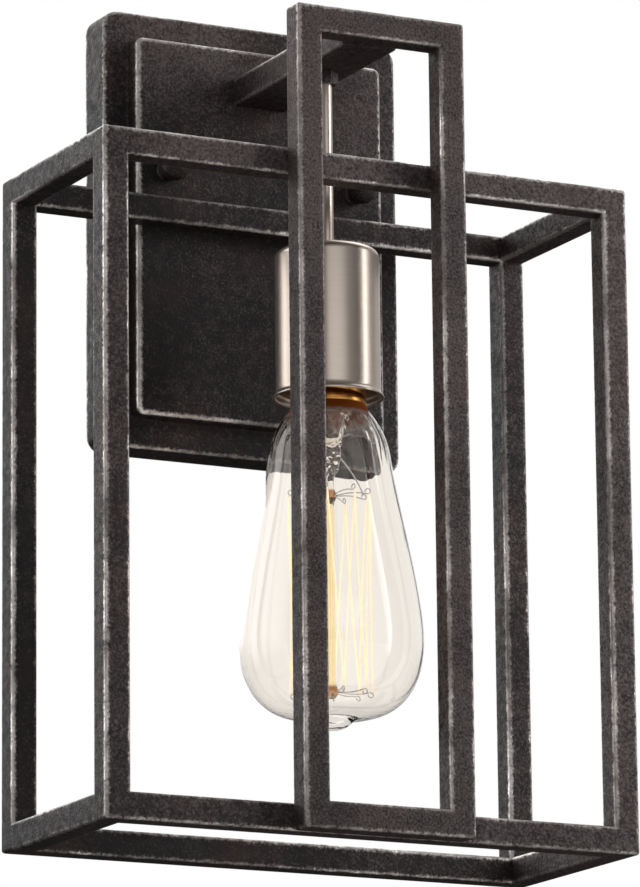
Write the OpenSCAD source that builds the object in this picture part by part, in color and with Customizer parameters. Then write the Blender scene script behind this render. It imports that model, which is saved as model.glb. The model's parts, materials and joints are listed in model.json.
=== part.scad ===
// Vanity wall sconce: a cage of square tube hung on a stepped backplate, with one
// filament bulb in a brushed cup below a flat arm.
// Millimetres. X to the right, Y into the wall, Z up.
// The origin is the centre of the mounting strap, on the face of the wall.

/* [Cage] */
// Width of the box cage
cage_w = 203.2; // [170:0.1:240]
// Depth of the box cage, from the front of its front tubes to the backplate
cage_d = 84.3; // [76:0.1:110]
// Height of the box cage
cage_h = 237.1; // [200:0.1:240]
// Outside width of the square tube
tube = 9.5; // [8:0.1:12]
// Wall of the square tube
tube_wall = 1; // [0.8:0.1:1.4]
// Outside corner radius of the square tube
tube_edge = 1.2; // [0.6:0.1:1.6]

/* [Centre frame] */
// Width of the narrow frame in front of the cage
centre_w = 64.8; // [56:0.1:90]
// Height of the narrow frame, which stands on the same level as the cage
centre_h = 286.6; // [284:0.1:320]

/* [Arm] */
// Width of the flat arm
arm_w = 21; // [18:0.1:28]
// Height of the flat arm
arm_h = 10.2; // [9.6:0.1:12]
// Wall of the arm's tube
arm_wall = 1.2; // [1:0.1:1.4]
// Top of the arm above the mounting strap's centre
arm_rise = 37.8; // [34:0.1:40]

/* [Backplate] */
// Width of the backplate
plate_w = 117.4; // [114:0.1:140]
// Height of the backplate
plate_h = 159.6; // [154:0.1:190]
// Corner radius of the backplate
plate_corner = 6; // [2:0.1:9]
// Sheet thickness of the backplate
plate_wall = 1.6; // [1.2:0.1:2]
// Depth of the backplate's rim from the wall
rim_depth = 14.8; // [13:0.1:18]
// Width of the raised panel
panel_w = 98; // [90:0.1:102]
// Height of the raised panel
panel_h = 138; // [134:0.1:144]
// Corner radius of the raised panel
panel_corner = 3; // [2:0.1:6]
// Height of the raised panel above the rim
panel_step = 7.5; // [6:0.1:10]
// Centre of the backplate below the mounting strap's centre
plate_drop = 20.2; // [18:0.1:22]

/* [Mounting] */
// Distance between the two studs that hold the backplate
stud_spacing = 75; // [70:0.1:80]
// Thread diameter of the studs
stud_d = 4.8; // [4:0.1:5]
// Distance between the slots for the junction box's screws
box_spacing = 88.9; // [82:0.1:92]
// Width of those slots
slot_w = 4.8; // [4:0.1:6]
// End-to-end length of those slots
slot_len = 12; // [9:0.1:13]
// Width of both mounting straps
strap_w = 20; // [18:0.1:24]
// Sheet thickness of both mounting straps
strap_t = 1.6; // [1.2:0.1:2]
// Diameter of the ball on a ball nut
ball_d = 10; // [9:0.1:12]
// Diameter of a ball nut's collar
ball_neck_d = 8; // [7:0.1:8.5]
// Centre of the ball in front of the panel
ball_out = 7; // [6.5:0.1:8]

/* [Stem and cup] */
// Lamp axis in front of the wall
lamp_out = 73; // [68:0.1:80]
// Length of the stem between the arm and the cup
stem_len = 64.9; // [50:0.1:70]
// Diameter of the stem
stem_d = 4.8; // [4.8:0.1:6]
// Bore of the stem, for the two leads
stem_bore = 3.4; // [3.3:0.05:3.5]
// Diameter of the stem's threaded ends
stem_thread_d = 4.4; // [4.3:0.05:4.6]
// Diameter of the cup
cup_d = 36.6; // [36.4:0.1:40]
// Height of the cup
cup_h = 53; // [50:0.1:58]
// Sheet thickness of the cup
cup_wall = 0.8; // [0.6:0.1:1]
// Radius of the cup's top edge
cup_edge = 3; // [1.5:0.1:4]
// Diameter of the cup's flared lip
cup_lip_d = 38.8; // [38.6:0.1:42]

/* [Socket] */
// Underside of the cup's top to the top of the socket body
bracket_drop = 9; // [8.5:0.1:11]
// Diameter of the socket body
socket_d = 33.2; // [32:0.1:34]
// Height of the socket body
socket_h = 34.4; // [33:0.1:36]
// Depth of the socket's well, up to the seat of its centre contact
well_depth = 16.8; // [16:0.1:19]
// Inside diameter of the screw shell
shell_d = 26.9; // [26.8:0.05:27.2]
// Sheet thickness of the screw shell
shell_wall = 0.4; // [0.3:0.05:0.5]

/* [Bulb] */
// Diameter of the bulb at its widest
bulb_d = 64.2; // [60:0.1:70]
// Length of the bulb from contact to glass tip
bulb_len = 141; // [138:0.1:145]
// Height of the widest ring above the glass tip
bulb_belly = 31; // [28:0.1:36]
// Diameter of the glass at its shoulder, below the neck
bulb_shoulder_d = 41.8; // [38:0.1:46]
// Diameter of the glass neck inside the base
bulb_neck_d = 25; // [24:0.1:25.2]
// Glass thickness
glass_t = 0.8; // [0.6:0.1:1]
// Crest diameter of the base's thread
base_d = 26.3; // [26:0.05:26.4]
// Length of the base from its rim to its contact
base_len = 27; // [26.5:0.1:28]
// Radius of the ring of filament strands
filament_r = 14.4; // [12:0.1:16]
// Height of the filament cage
filament_h = 69; // [60:0.1:72]
// Number of hooks in each ring, with two strands to a hook
hook_count = 9; // [6:1:12]

/* [Wiring] */
// Diameter of an insulated lead
lead_d = 1.5; // [1.3:0.05:1.55]
// Diameter of the bare ground wire
ground_d = 1.6; // [1.2:0.1:1.8]
// Height of a wire connector
connector_h = 21; // [18:0.1:24]
// Radius of a wire connector's skirt
connector_r = 5.6; // [5:0.1:6]
// Wire connectors' distance from the middle
connector_x = 14; // [13:0.1:16]
// Top of the wire connectors below the mounting strap's centre
connector_drop = 52; // [50:0.1:56]

/* [Hidden] */
$fn = 96;

// Finishes
pewter = "#3a3638";
nickel = "#b9aea4";
zinc = "#c4c6c8";
brass = "#c9a24e";

// Fits
running = 0.08; // radial, where one piece passes another
hole_play = 0.4; // radial, in a clearance hole
bite = 1; // how far a cut runs past a face

// Depths, as distances in front of the wall
rim_inside = rim_depth - plate_wall;
panel_front = rim_depth + panel_step;
panel_inside = panel_front - plate_wall;
cage_front = panel_front + cage_d;

// Levels
plate_z = -plate_drop;
arm_bottom = arm_rise - arm_h;
cage_bottom = arm_rise - centre_h;
cage_top = cage_bottom + cage_h;
cup_top = arm_bottom - stem_len;
cup_mouth = cup_top - cup_h;
cup_ceiling = cup_top - cup_wall;
socket_top = cup_ceiling - bracket_drop;
socket_bottom = socket_top - socket_h;
well_seat = socket_bottom + well_depth;
contact_t = 1.2; // height of the centre contact in the well
contact_gap = 0.25; // between the centre contact and the bulb
contact_d = 9;
contact_nub_d = 5;
contact_sheet = 0.4;
bulb_top = well_seat - contact_t - contact_gap;
bulb_rim = bulb_top - base_len;
bulb_tip = bulb_top - bulb_len;

// Small hardware
nut_af = 8; // across flats of the stem's jam nut and the studs' lock nuts
jam_nut_h = 4.6;
lock_nut_h = 3.2;
insert_d = 8;
insert_h = 4;
small_nut_af = 7;
small_nut_h = 2.5;
stem_past = 1; // stem's end past its nut
washer_t = 0.6;
lip_h = 3; // height of the cup's flare
shell_flange = 4; // width of the screw shell's flange
foot_w = 46;
foot_h = 20;
foot_t = 1.6;
foot_stud_d = 4;
foot_stud_x = 16.5;
foot_stud_len = 8.5;
foot_nut_h = 3.2;
bracket_t = 1;
bracket_leg_x = 8.5;
bracket_foot_x = 15.5;
bracket_w = 8;
small_screw_d = 3;
small_head_d = 5;
small_head_h = 1.8;
bracket_screw_x = (bracket_leg_x + bracket_foot_x) / 2;
bracket_screw_len = 7;
terminal_y = 11;
terminal_len = 6;
rivet_d = 6;
rivet_head_d = 10;
rivet_head_h = 1.2;
ground_drop = 19;
ground_screw_d = 4;
ground_head_d = 8;
ground_head_h = 2.4;
ground_slot_w = 0.9;
stud_end = 0.4; // studs stop this far in front of the wall
stud_grip = 6; // thread inside a ball nut
strap_end = 5; // sheet left past a hole at a strap's end

// A rectangle with round corners
module round_rect(w, h, r) {
  square([w - 2 * r, h], center = true);
  square([w, h - 2 * r], center = true);
  for (x = [-1, 1], y = [-1, 1])
    translate([x * (w / 2 - r), y * (h / 2 - r)]) circle(r);
}

// A plate parallel to the wall, from depth near to depth far in front of it
module wall_slab(w, h, r, near, far) {
  translate([0, -near, 0]) rotate([90, 0, 0]) linear_extrude(far - near) round_rect(w, h, r);
}

// A round bar standing out of the wall
module wall_rod(d, near, far, x = 0, z = 0) {
  translate([x, -near, z]) rotate([90, 0, 0]) cylinder(d = d, h = far - near);
}

// An upright slot with round ends, cut through a sheet
module wall_slot(w, len, near, far) {
  translate([0, -near, 0]) rotate([90, 0, 0]) linear_extrude(far - near) {
    square([w, len - w], center = true);
    for (s = [-1, 1]) translate([0, s * (len - w) / 2]) circle(d = w);
  }
}

// A hexagonal nut standing out of the wall, with its hole
module wall_nut(af, hole, near, far, x, z) {
  difference() {
    translate([x, -near, z]) rotate([90, 0, 0])
      cylinder(d = af / cos(30), h = far - near, $fn = 6);
    wall_rod(hole, near - bite, far + bite, x, z);
  }
}

// A hexagonal nut on the lamp axis, with its hole
module lamp_nut(af, hole, bottom, top) {
  translate([0, -lamp_out, 0]) difference() {
    translate([0, 0, bottom]) cylinder(d = af / cos(30), h = top - bottom, $fn = 6);
    translate([0, 0, bottom - bite]) cylinder(d = hole, h = top - bottom + 2 * bite);
  }
}

// A ring or disc on the lamp axis
module lamp_ring(outer, inner, bottom, top) {
  translate([0, -lamp_out, 0]) difference() {
    translate([0, 0, bottom]) cylinder(d = outer, h = top - bottom);
    translate([0, 0, bottom - bite]) cylinder(d = inner, h = top - bottom + 2 * bite);
  }
}

// A round rod from point a to point b
module rod(a, b, d, sides = 24) {
  v = b - a;
  translate(a) rotate([0, acos(v[2] / norm(v)), atan2(v[1], v[0])])
    cylinder(d = d, h = norm(v), $fn = sides);
}

// Square tube along X, centred, with its ends left long for a mitre cut
module tube_x(len) {
  inner = tube - 2 * tube_wall;
  rotate([90, 0, 90]) translate([0, 0, -len / 2]) linear_extrude(len) difference() {
    round_rect(tube, tube, tube_edge);
    round_rect(inner, inner, max(tube_edge - tube_wall, 0.2));
  }
}

// Removes what lies past a 45 degree mitre at the tube's two ends. The inner side is +Y.
module mitre_x(len) {
  intersection() {
    tube_x(len);
    linear_extrude(2 * tube, center = true) polygon([
      [-len / 2, -tube / 2], [len / 2, -tube / 2],
      [len / 2 - tube, tube / 2], [-len / 2 + tube, tube / 2]
    ]);
  }
}

// One side of a flat ring of tube, at distance out from the ring's centre
module ring_side(len, out, turn) {
  rotate([0, 0, turn]) translate([0, -out + tube / 2, 0]) mitre_x(len);
}

// The cage's flat rings, at the level of each ring's middle
module cage_side(level, side) {
  lens = [cage_w, cage_d, cage_w, cage_d];
  outs = [cage_d / 2, cage_w / 2, cage_d / 2, cage_w / 2];
  color(pewter) translate([0, -panel_front - cage_d / 2, level])
    ring_side(lens[side], outs[side], 90 * side);
}

module cage_post(x_side, y_side) {
  color(pewter)
    translate([x_side * (cage_w - tube) / 2,
               -panel_front - cage_d / 2 + y_side * (cage_d - tube) / 2,
               (cage_top + cage_bottom) / 2])
      rotate([0, 90, 0]) tube_x(cage_h - 2 * tube);
}

// The centre frame's four sides stand in one plane, in front of the cage
module centre_side(side) {
  lens = [centre_w, centre_h, centre_w, centre_h];
  outs = [centre_h / 2, centre_w / 2, centre_h / 2, centre_w / 2];
  color(pewter) translate([0, -cage_front - tube / 2, cage_bottom + centre_h / 2])
    rotate([90, 0, 0]) ring_side(lens[side], outs[side], 90 * side);
}

module backplate() {
  color(pewter) difference() {
    translate([0, 0, plate_z]) union() {
      wall_slab(plate_w, plate_h, plate_corner, 0, rim_depth);
      wall_slab(panel_w, panel_h, panel_corner, rim_inside, panel_front);
    }
    translate([0, 0, plate_z]) {
      wall_slab(plate_w - 2 * plate_wall, plate_h - 2 * plate_wall,
                max(plate_corner - plate_wall, 0.4), -bite, rim_inside);
      wall_slab(panel_w - 2 * plate_wall, panel_h - 2 * plate_wall,
                max(panel_corner - plate_wall, 0.4), 0, panel_inside);
    }
    for (s = [-1, 1])
      wall_rod(stud_d + 2 * hole_play, panel_inside - bite, panel_front + bite,
               s * stud_spacing / 2, 0);
    translate([0, 0, arm_rise - arm_h / 2])
      wall_slab(arm_w + 2 * running, arm_h + 2 * running, tube_edge + running,
                panel_inside - bite, panel_front + bite);
  }
}

module box_strap() {
  len = box_spacing + slot_len + 2 * strap_end;
  color(zinc) difference() {
    wall_slab(strap_w, len, 2, 0, strap_t);
    for (s = [-1, 1])
      translate([0, 0, s * box_spacing / 2])
        wall_slot(slot_w, slot_len, -bite, strap_t + bite);
    wall_rod(rivet_d + 2 * running, -bite, strap_t + bite);
    wall_rod(ground_screw_d + 2 * running, -bite, strap_t + bite, 0, -ground_drop);
  }
}

module stud_strap() {
  len = stud_spacing + nut_af + 2 * strap_end;
  color(zinc) difference() {
    wall_slab(len, strap_w, 2, strap_t, 2 * strap_t);
    for (s = [-1, 1])
      wall_rod(stud_d + 2 * running, strap_t - bite, 2 * strap_t + bite, s * stud_spacing / 2);
    wall_rod(rivet_d + 2 * running, strap_t - bite, 2 * strap_t + bite);
  }
}

module strap_rivet() {
  color(zinc) union() {
    wall_rod(rivet_d, 0, 2 * strap_t + rivet_head_h / 2);
    wall_rod(rivet_head_d, 2 * strap_t, 2 * strap_t + rivet_head_h);
  }
}

module mounting_studs() {
  color(zinc) for (s = [-1, 1])
    wall_rod(stud_d, stud_end, panel_front + stud_grip, s * stud_spacing / 2);
}

module stud_lock_nuts() {
  color(zinc) for (s = [-1, 1])
    wall_nut(nut_af, stud_d + 2 * running, 2 * strap_t, 2 * strap_t + lock_nut_h,
             s * stud_spacing / 2, 0);
}

// A ball on a collar, with a blind hole for the stud
module ball_nut(side) {
  x = side * stud_spacing / 2;
  neck_end = panel_front + ball_out;
  color(pewter) difference() {
    union() {
      wall_rod(ball_neck_d, panel_front, neck_end, x);
      translate([x, -neck_end, 0]) sphere(d = ball_d);
    }
    wall_rod(stud_d + 2 * running, panel_front - bite, panel_front + stud_grip + running, x);
  }
}

module ball_nut_left() {
  ball_nut(-1);
}

module ball_nut_right() {
  ball_nut(1);
}

module ground_screw() {
  color("#3f8f4f") difference() {
    union() {
      wall_rod(ground_screw_d, 0, strap_t + ground_d, 0, -ground_drop);
      wall_rod(ground_head_d, strap_t + ground_d, strap_t + ground_d + ground_head_h, 0, -ground_drop);
    }
    translate([0, -strap_t - ground_d - ground_head_h, -ground_drop])
      cube([ground_slot_w, 2 * ground_slot_w, ground_head_d + bite], center = true);
  }
}

// A piece of a route that rounds the corner b between a and c
function turn_points(a, b, c, r, n) =
  let (p = b + r * (a - b) / norm(a - b), q = b + r * (c - b) / norm(c - b))
    [for (i = [0:n]) let (t = i / n) (1 - t) * (1 - t) * p + 2 * t * (1 - t) * b + t * t * q];

function route(points, r, n = 4) = [
  points[0],
  for (i = [1:len(points) - 2]) each turn_points(points[i - 1], points[i], points[i + 1], r, n),
  points[len(points) - 1]
];

function heading(p, i) =
  let (a = p[max(i - 1, 0)], b = p[min(i + 1, len(p) - 1)]) (b - a) / norm(b - a);

// A wire of round section along a route. No part of the route runs along X.
module wire(points, d, r, sides = 8) {
  p = route(points, r);
  rings = len(p);
  verts = [
    for (i = [0:rings - 1])
      let (t = heading(p, i), side = cross(t, [1, 0, 0]), u = side / norm(side), v = cross(t, u))
        for (k = [0:sides - 1])
          p[i] + d / 2 * (cos(360 * k / sides) * u + sin(360 * k / sides) * v)
  ];
  walls = [
    for (i = [0:rings - 2], k = [0:sides - 1])
      let (a = i * sides + k, b = i * sides + (k + 1) % sides)
        each [[a, b, b + sides], [a, b + sides, a + sides]]
  ];
  first = [for (k = [sides - 1:-1:0]) k];
  last = [for (k = [0:sides - 1]) (rings - 1) * sides + k];
  polyhedron(verts, [each walls, first, last]);
}

// The ground wire runs from its screw up to the left foot stud
module ground_wire() {
  depth = strap_t + ground_d / 2;
  clear = 2 * strap_t + lock_nut_h + ground_d;
  foot_z = arm_rise - arm_h / 2;
  foot_depth = panel_inside - foot_t - foot_nut_h - ground_d / 2 - running;
  color("#c07a4a") wire([
    [-ground_screw_d / 2 - ground_d / 2 - running, -depth, -ground_drop - ground_head_d / 2],
    [-ground_screw_d / 2 - ground_d / 2 - running, -depth, -ground_drop + ground_head_d / 2 + 1],
    [-strap_w / 2 + 2, -clear, -3],
    [-foot_stud_x - 1, -clear, 14],
    [-foot_stud_x - foot_stud_d / 2 - ground_d / 2 - running, -foot_depth, foot_z - 6],
    [-foot_stud_x - foot_stud_d / 2 - ground_d / 2 - running, -foot_depth, foot_z + 4]
  ], ground_d, 2);
}

module arm() {
  rear = panel_inside - foot_t;
  color(pewter) difference() {
    translate([0, 0, arm_rise - arm_h / 2]) difference() {
      wall_slab(arm_w, arm_h, tube_edge, rear, cage_front);
      wall_slab(arm_w - 2 * arm_wall, arm_h - 2 * arm_wall,
                max(tube_edge - arm_wall, 0.2), rear - bite, cage_front + bite);
    }
    translate([0, -lamp_out, arm_bottom - bite])
      cylinder(d = stem_thread_d + 2 * running, h = arm_wall + 2 * bite);
  }
}

module arm_foot_plate() {
  near = panel_inside - foot_t;
  color(zinc) translate([0, 0, arm_rise - arm_h / 2]) difference() {
    wall_slab(foot_w, foot_h, 2, near, panel_inside);
    wall_slab(arm_w + 2 * running, arm_h + 2 * running, tube_edge + running,
              near - bite, panel_inside + bite);
    for (s = [-1, 1])
      wall_rod(foot_stud_d + 2 * running, near - bite, panel_inside + bite, s * foot_stud_x);
  }
}

module foot_studs() {
  color(zinc) for (s = [-1, 1])
    wall_rod(foot_stud_d, panel_inside - foot_stud_len, panel_inside,
             s * foot_stud_x, arm_rise - arm_h / 2);
}

module foot_nuts() {
  far = panel_inside - foot_t;
  color(zinc) for (s = [-1, 1])
    wall_nut(small_nut_af, foot_stud_d + 2 * running, far - foot_nut_h, far,
             s * foot_stud_x, arm_rise - arm_h / 2);
}

module stem_insert() {
  color(zinc) lamp_ring(insert_d, stem_thread_d + 2 * running,
                        arm_bottom + arm_wall, arm_bottom + arm_wall + insert_h);
}

module stem_jam_nut() {
  color(pewter) lamp_nut(nut_af, stem_d + 2 * running, arm_bottom - jam_nut_h, arm_bottom);
}

// The stem's ends are turned down, so that it shoulders on the arm and on the cup
module stem() {
  thread_end = cup_ceiling - bracket_t - washer_t - small_nut_h - stem_past;
  color(nickel) translate([0, -lamp_out, 0]) difference() {
    union() {
      translate([0, 0, cup_top]) cylinder(d = stem_d, h = stem_len);
      translate([0, 0, thread_end])
        cylinder(d = stem_thread_d, h = arm_bottom + arm_wall + insert_h - thread_end);
    }
    translate([0, 0, thread_end - bite])
      cylinder(d = stem_bore, h = arm_rise - thread_end + bite);
  }
}

// Half section of the cup: outside down from the top hole, round the lip, and up inside
module cup() {
  r = cup_d / 2;
  lip = cup_lip_d / 2;
  steps = 6;
  color(nickel) translate([0, -lamp_out, 0]) rotate_extrude() polygon([
    [stem_thread_d / 2 + running, cup_top],
    for (i = [0:steps]) let (a = 90 - 90 * i / steps)
      [r - cup_edge + cup_edge * cos(a), cup_top - cup_edge + cup_edge * sin(a)],
    [r, cup_mouth + lip_h],
    [lip, cup_mouth + cup_wall / 2],
    [lip - cup_wall / 4, cup_mouth],
    [lip - cup_wall, cup_mouth],
    [r - cup_wall, cup_mouth + lip_h],
    for (i = [steps:-1:0]) let (a = 90 - 90 * i / steps, e = cup_edge - cup_wall)
      [r - cup_edge + e * cos(a), cup_top - cup_edge + e * sin(a)],
    [stem_thread_d / 2 + running, cup_ceiling]
  ]);
}

// A bent strap that hangs the socket body under the cup's top
module socket_bracket() {
  color(zinc) translate([0, -lamp_out, 0]) difference() {
    union() {
      translate([-bracket_leg_x, -bracket_w / 2, cup_ceiling - bracket_t])
        cube([2 * bracket_leg_x, bracket_w, bracket_t]);
      for (s = [-1, 1]) {
        translate([s * (bracket_leg_x - bracket_t / 2) - bracket_t / 2, -bracket_w / 2, socket_top])
          cube([bracket_t, bracket_w, cup_ceiling - socket_top]);
        translate([s > 0 ? bracket_leg_x - bracket_t : -bracket_foot_x, -bracket_w / 2, socket_top])
          cube([bracket_foot_x - bracket_leg_x + bracket_t, bracket_w, bracket_t]);
      }
    }
    translate([0, 0, cup_ceiling - 2 * bracket_t])
      cylinder(d = stem_thread_d + 2 * running, h = 3 * bracket_t);
    for (s = [-1, 1])
      translate([s * bracket_screw_x, 0, socket_top - bite])
        cylinder(d = small_screw_d + 2 * running, h = bracket_t + 2 * bite);
  }
}

module cup_lock_washer() {
  top = cup_ceiling - bracket_t;
  color(zinc) lamp_ring(small_nut_af, stem_thread_d + 2 * running, top - washer_t, top);
}

module cup_nut() {
  top = cup_ceiling - bracket_t - washer_t;
  color(zinc) lamp_nut(small_nut_af, stem_thread_d + 2 * running, top - small_nut_h, top);
}

// Moulded body with its screw-shell well and four blind screw holes
module socket_body() {
  well_d = shell_d + 2 * shell_wall + 2 * running;
  color("#3b2a20") translate([0, -lamp_out, 0]) difference() {
    translate([0, 0, socket_bottom]) cylinder(d = socket_d, h = socket_h);
    translate([0, 0, socket_bottom - bite]) cylinder(d = well_d, h = well_depth + bite);
    for (s = [-1, 1]) {
      translate([s * bracket_screw_x, 0, socket_top - bracket_screw_len])
        cylinder(d = small_screw_d + 2 * running, h = bracket_screw_len + bite);
      translate([0, s * terminal_y, socket_top - terminal_len])
        cylinder(d = small_screw_d + 2 * running, h = terminal_len + bite);
    }
  }
}

// A threaded sleeve with a flange that seats on the floor of the well
module socket_shell() {
  color(brass) translate([0, -lamp_out, 0]) difference() {
    translate([0, 0, socket_bottom]) cylinder(d = shell_d + 2 * shell_wall, h = well_depth);
    translate([0, 0, socket_bottom - bite])
      cylinder(d = shell_d, h = well_depth - shell_wall + bite);
    translate([0, 0, socket_bottom]) cylinder(d = shell_d - 2 * shell_flange, h = well_depth + bite);
  }
}

module centre_contact() {
  color(brass) translate([0, -lamp_out, 0]) union() {
    translate([0, 0, well_seat - contact_sheet]) cylinder(d = contact_d, h = contact_sheet);
    translate([0, 0, well_seat - contact_t])
      cylinder(d = contact_nub_d, h = contact_t - contact_sheet / 2);
  }
}

// Heads sit on the bracket's feet, shanks in the body's holes
module bracket_screws() {
  color(zinc) translate([0, -lamp_out, 0]) for (s = [-1, 1]) translate([s * bracket_screw_x, 0, 0]) {
    translate([0, 0, socket_top - bracket_screw_len + running])
      cylinder(d = small_screw_d, h = bracket_screw_len + bracket_t);
    translate([0, 0, socket_top + bracket_t]) cylinder(d = small_head_d, h = small_head_h);
  }
}

module terminal_screws() {
  color(brass) translate([0, -lamp_out, 0]) for (s = [-1, 1]) translate([0, s * terminal_y, 0]) {
    translate([0, 0, socket_top - terminal_len + running])
      cylinder(d = small_screw_d, h = terminal_len + lead_d);
    translate([0, 0, socket_top + lead_d]) cylinder(d = small_head_d, h = small_head_h);
  }
}

// A lead from its wire connector up into the arm, along it, down the stem, to its terminal
function lead_route(side) =
  let (
    x = side * (lead_d / 2 + 0.05),
    along = arm_bottom + arm_wall + insert_h + lead_d / 2 + running,
    clear = 2 * strap_t + lock_nut_h + 2 * ground_d,
    out = cup_ceiling - bracket_t - washer_t - small_nut_h - stem_past,
    turn_z = socket_top + lead_d / 2,
    screw_y = -lamp_out + side * terminal_y
  ) [
    [side * connector_x, -clear - 2, -connector_drop],
    [side * (connector_x - 2), -clear - 2, -connector_drop + 44],
    [side * 5, -clear - 2, arm_bottom - 2],
    [side * 3, -panel_inside + foot_t + 4, along],
    [x, -panel_front - 12, along],
    [x, -lamp_out, along],
    [x, -lamp_out, out - 1],
    [side * 1.2, -lamp_out + side * 2.6, turn_z],
    [side * 2.35, screw_y - side * 4, turn_z],
    [side * 2.35, screw_y + side * 2, turn_z]
  ];

module hot_lead() {
  color("#1c1b1d") wire(lead_route(-1), lead_d, 0.9);
}

module neutral_lead() {
  color("#e8e4da") wire(lead_route(1), lead_d, 0.9);
}

// Twist-on connectors on the ends of the two leads, skirt up
module wire_connectors() {
  hole = lead_d / 2 + 0.6;
  color("#c8642c") for (s = [-1, 1]) {
    top = lead_route(s)[0];
    translate([top[0], top[1], top[2] - connector_h]) rotate_extrude() polygon([
      [0, 0], [connector_r / 2, 0], [connector_r / 2 + 0.6, 1],
      [connector_r - 0.8, connector_h - connector_r], [connector_r, connector_h - connector_r + 1],
      [connector_r, connector_h], [hole, connector_h], [hole, connector_h - 3],
      [0, connector_h - 3]
    ]);
  }
}

// A cubic curve between p0 and p3 in n steps, without its last point
function curve(p0, p1, p2, p3, n) = [
  for (i = [0:n - 1]) let (t = i / n, s = 1 - t)
    s * s * s * p0 + 3 * s * s * t * p1 + 3 * s * t * t * p2 + t * t * t * p3
];

// Outline of the glass, from the neck down to the tip: radius and level
bulb_r = bulb_d / 2;
neck_r = bulb_neck_d / 2;
shoulder_r = bulb_shoulder_d / 2;
neck_in = 2; // neck held inside the base
shoulder_drop = 15.5; // rim of the base to the shoulder
belly_z = bulb_tip + bulb_belly;
shoulder_z = bulb_rim - shoulder_drop;
bowl_r = bulb_r / 2; // where the bowl meets the nearly flat bottom
bowl_z = bulb_tip + 5.2;
nub_r = 7.2;
nub_z = bulb_tip + 3.9;
glass_line = [
  [neck_r, bulb_rim + neck_in],
  each curve([neck_r, bulb_rim], [neck_r + 2, bulb_rim - 2.5],
             [shoulder_r - 1.6, shoulder_z + 7.5], [shoulder_r, shoulder_z], 6),
  each curve([shoulder_r, shoulder_z], [shoulder_r + 2.7, shoulder_z - 20],
             [bulb_r, belly_z + 17], [bulb_r, belly_z], 10),
  each curve([bulb_r, belly_z], [bulb_r, belly_z - 14.4],
             [bulb_r - 6.6, bulb_tip + 7.2], [bowl_r, bowl_z], 9),
  each curve([bowl_r, bowl_z], [bowl_r - 4, bowl_z - 0.6], [nub_r + 1.2, nub_z + 0.2],
             [nub_r, nub_z], 2),
  each curve([nub_r, nub_z], [nub_r - 0.6, bulb_tip + 1], [nub_r / 2, bulb_tip],
             [0, bulb_tip], 5)
];

// The same outline moved inwards by the glass thickness, without the nub
inner_line = [
  for (i = [0:len(glass_line) - 1])
    let (p = glass_line[i], a = glass_line[max(i - 1, 0)],
         b = glass_line[min(i + 1, len(glass_line) - 1)], t = (b - a) / norm(b - a))
      if (p[0] > nub_r + 1) p + glass_t * [t[1], -t[0]]
];
inner_floor = bowl_z + glass_t;

module bulb_glass() {
  color([0.93, 0.9, 0.82, 0.35]) translate([0, -lamp_out, 0]) rotate_extrude() polygon([
    each glass_line,
    [0, bulb_tip],
    [0, inner_floor - 0.8],
    for (i = [len(inner_line) - 1:-1:0]) inner_line[i]
  ]);
}

// Thread crests of the base, ring by ring, from its rim up
thread_pitch = 3.63;
thread_depth = 0.75;
thread_start = 3;
thread_turns = 4;
thread_top = thread_start + thread_turns * thread_pitch;
base_wall = 0.3;
base_taper = 3.6; // height of the base's cone above its thread
insulator_r = 10;
contact_r = 4.6;
contact_h = 2;
base_line = [
  [base_d / 2, 0], [base_d / 2, thread_start - 0.8],
  for (i = [0:thread_turns * 8]) let (h = thread_start + i * thread_pitch / 8)
    [base_d / 2 - thread_depth / 2 * (1 - cos(360 * (i / 8 + 0.5))), h],
  [base_d / 2 - thread_depth - base_wall, thread_top + base_taper / 3],
  [insulator_r, thread_top + base_taper]
];

module bulb_base() {
  color(brass) translate([0, -lamp_out, bulb_rim]) rotate_extrude() polygon([
    each base_line,
    for (i = [len(base_line) - 1:-1:0]) [base_line[i][0] - base_wall, base_line[i][1]]
  ]);
}

insulator_bottom = thread_top + base_taper;
contact_bottom = base_len - contact_h;

module base_insulator() {
  color("#241f1e") translate([0, -lamp_out, bulb_rim]) rotate_extrude() polygon([
    [0, insulator_bottom], [insulator_r, insulator_bottom],
    [contact_r + 0.4, contact_bottom], [0, contact_bottom]
  ]);
}

module base_contact() {
  color(zinc) translate([0, -lamp_out, bulb_rim]) rotate_extrude() polygon([
    [0, contact_bottom], [contact_r, contact_bottom], [contact_r - 0.6, base_len - 0.8],
    [contact_r - 2, base_len], [0, base_len]
  ]);
}

// Glass flare, pinch and centre rod that carry the filament
filament_bottom = bulb_tip + 13.3;
filament_top = filament_bottom + filament_h;
flare_top = bulb_rim + 1;
pinch_z = bulb_rim - 18;
pinch_r = 4.2;
lead_in_d = 0.6;
rod_r = 1.5;
button_r = 2.4;
module glass_mount() {
  flare_r = neck_r - glass_t - running;
  color([0.93, 0.9, 0.82, 0.5]) translate([0, -lamp_out, 0]) rotate_extrude() polygon([
    [0, filament_bottom - 2.6],
    [rod_r, filament_bottom - 2.2],
    [button_r, filament_bottom - 1], [button_r, filament_bottom + 1],
    [rod_r, filament_bottom + 2.4],
    [rod_r, filament_top - 2.4],
    [button_r, filament_top - 1], [button_r, filament_top + 1],
    [rod_r, filament_top + 2.4],
    [rod_r, pinch_z - 7],
    [3.6, pinch_z - 4], [pinch_r, pinch_z], [4.6, pinch_z + 6],
    [6.4, flare_top - 5], [flare_r, flare_top],
    [flare_r - 0.8, flare_top], [5.6, flare_top - 5], [3.8, pinch_z + 6], [0, pinch_z + 4]
  ]);
}

function ring_point(i, count, r, z) =
  [r * cos(360 * i / count), -lamp_out + r * sin(360 * i / count), z];

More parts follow.
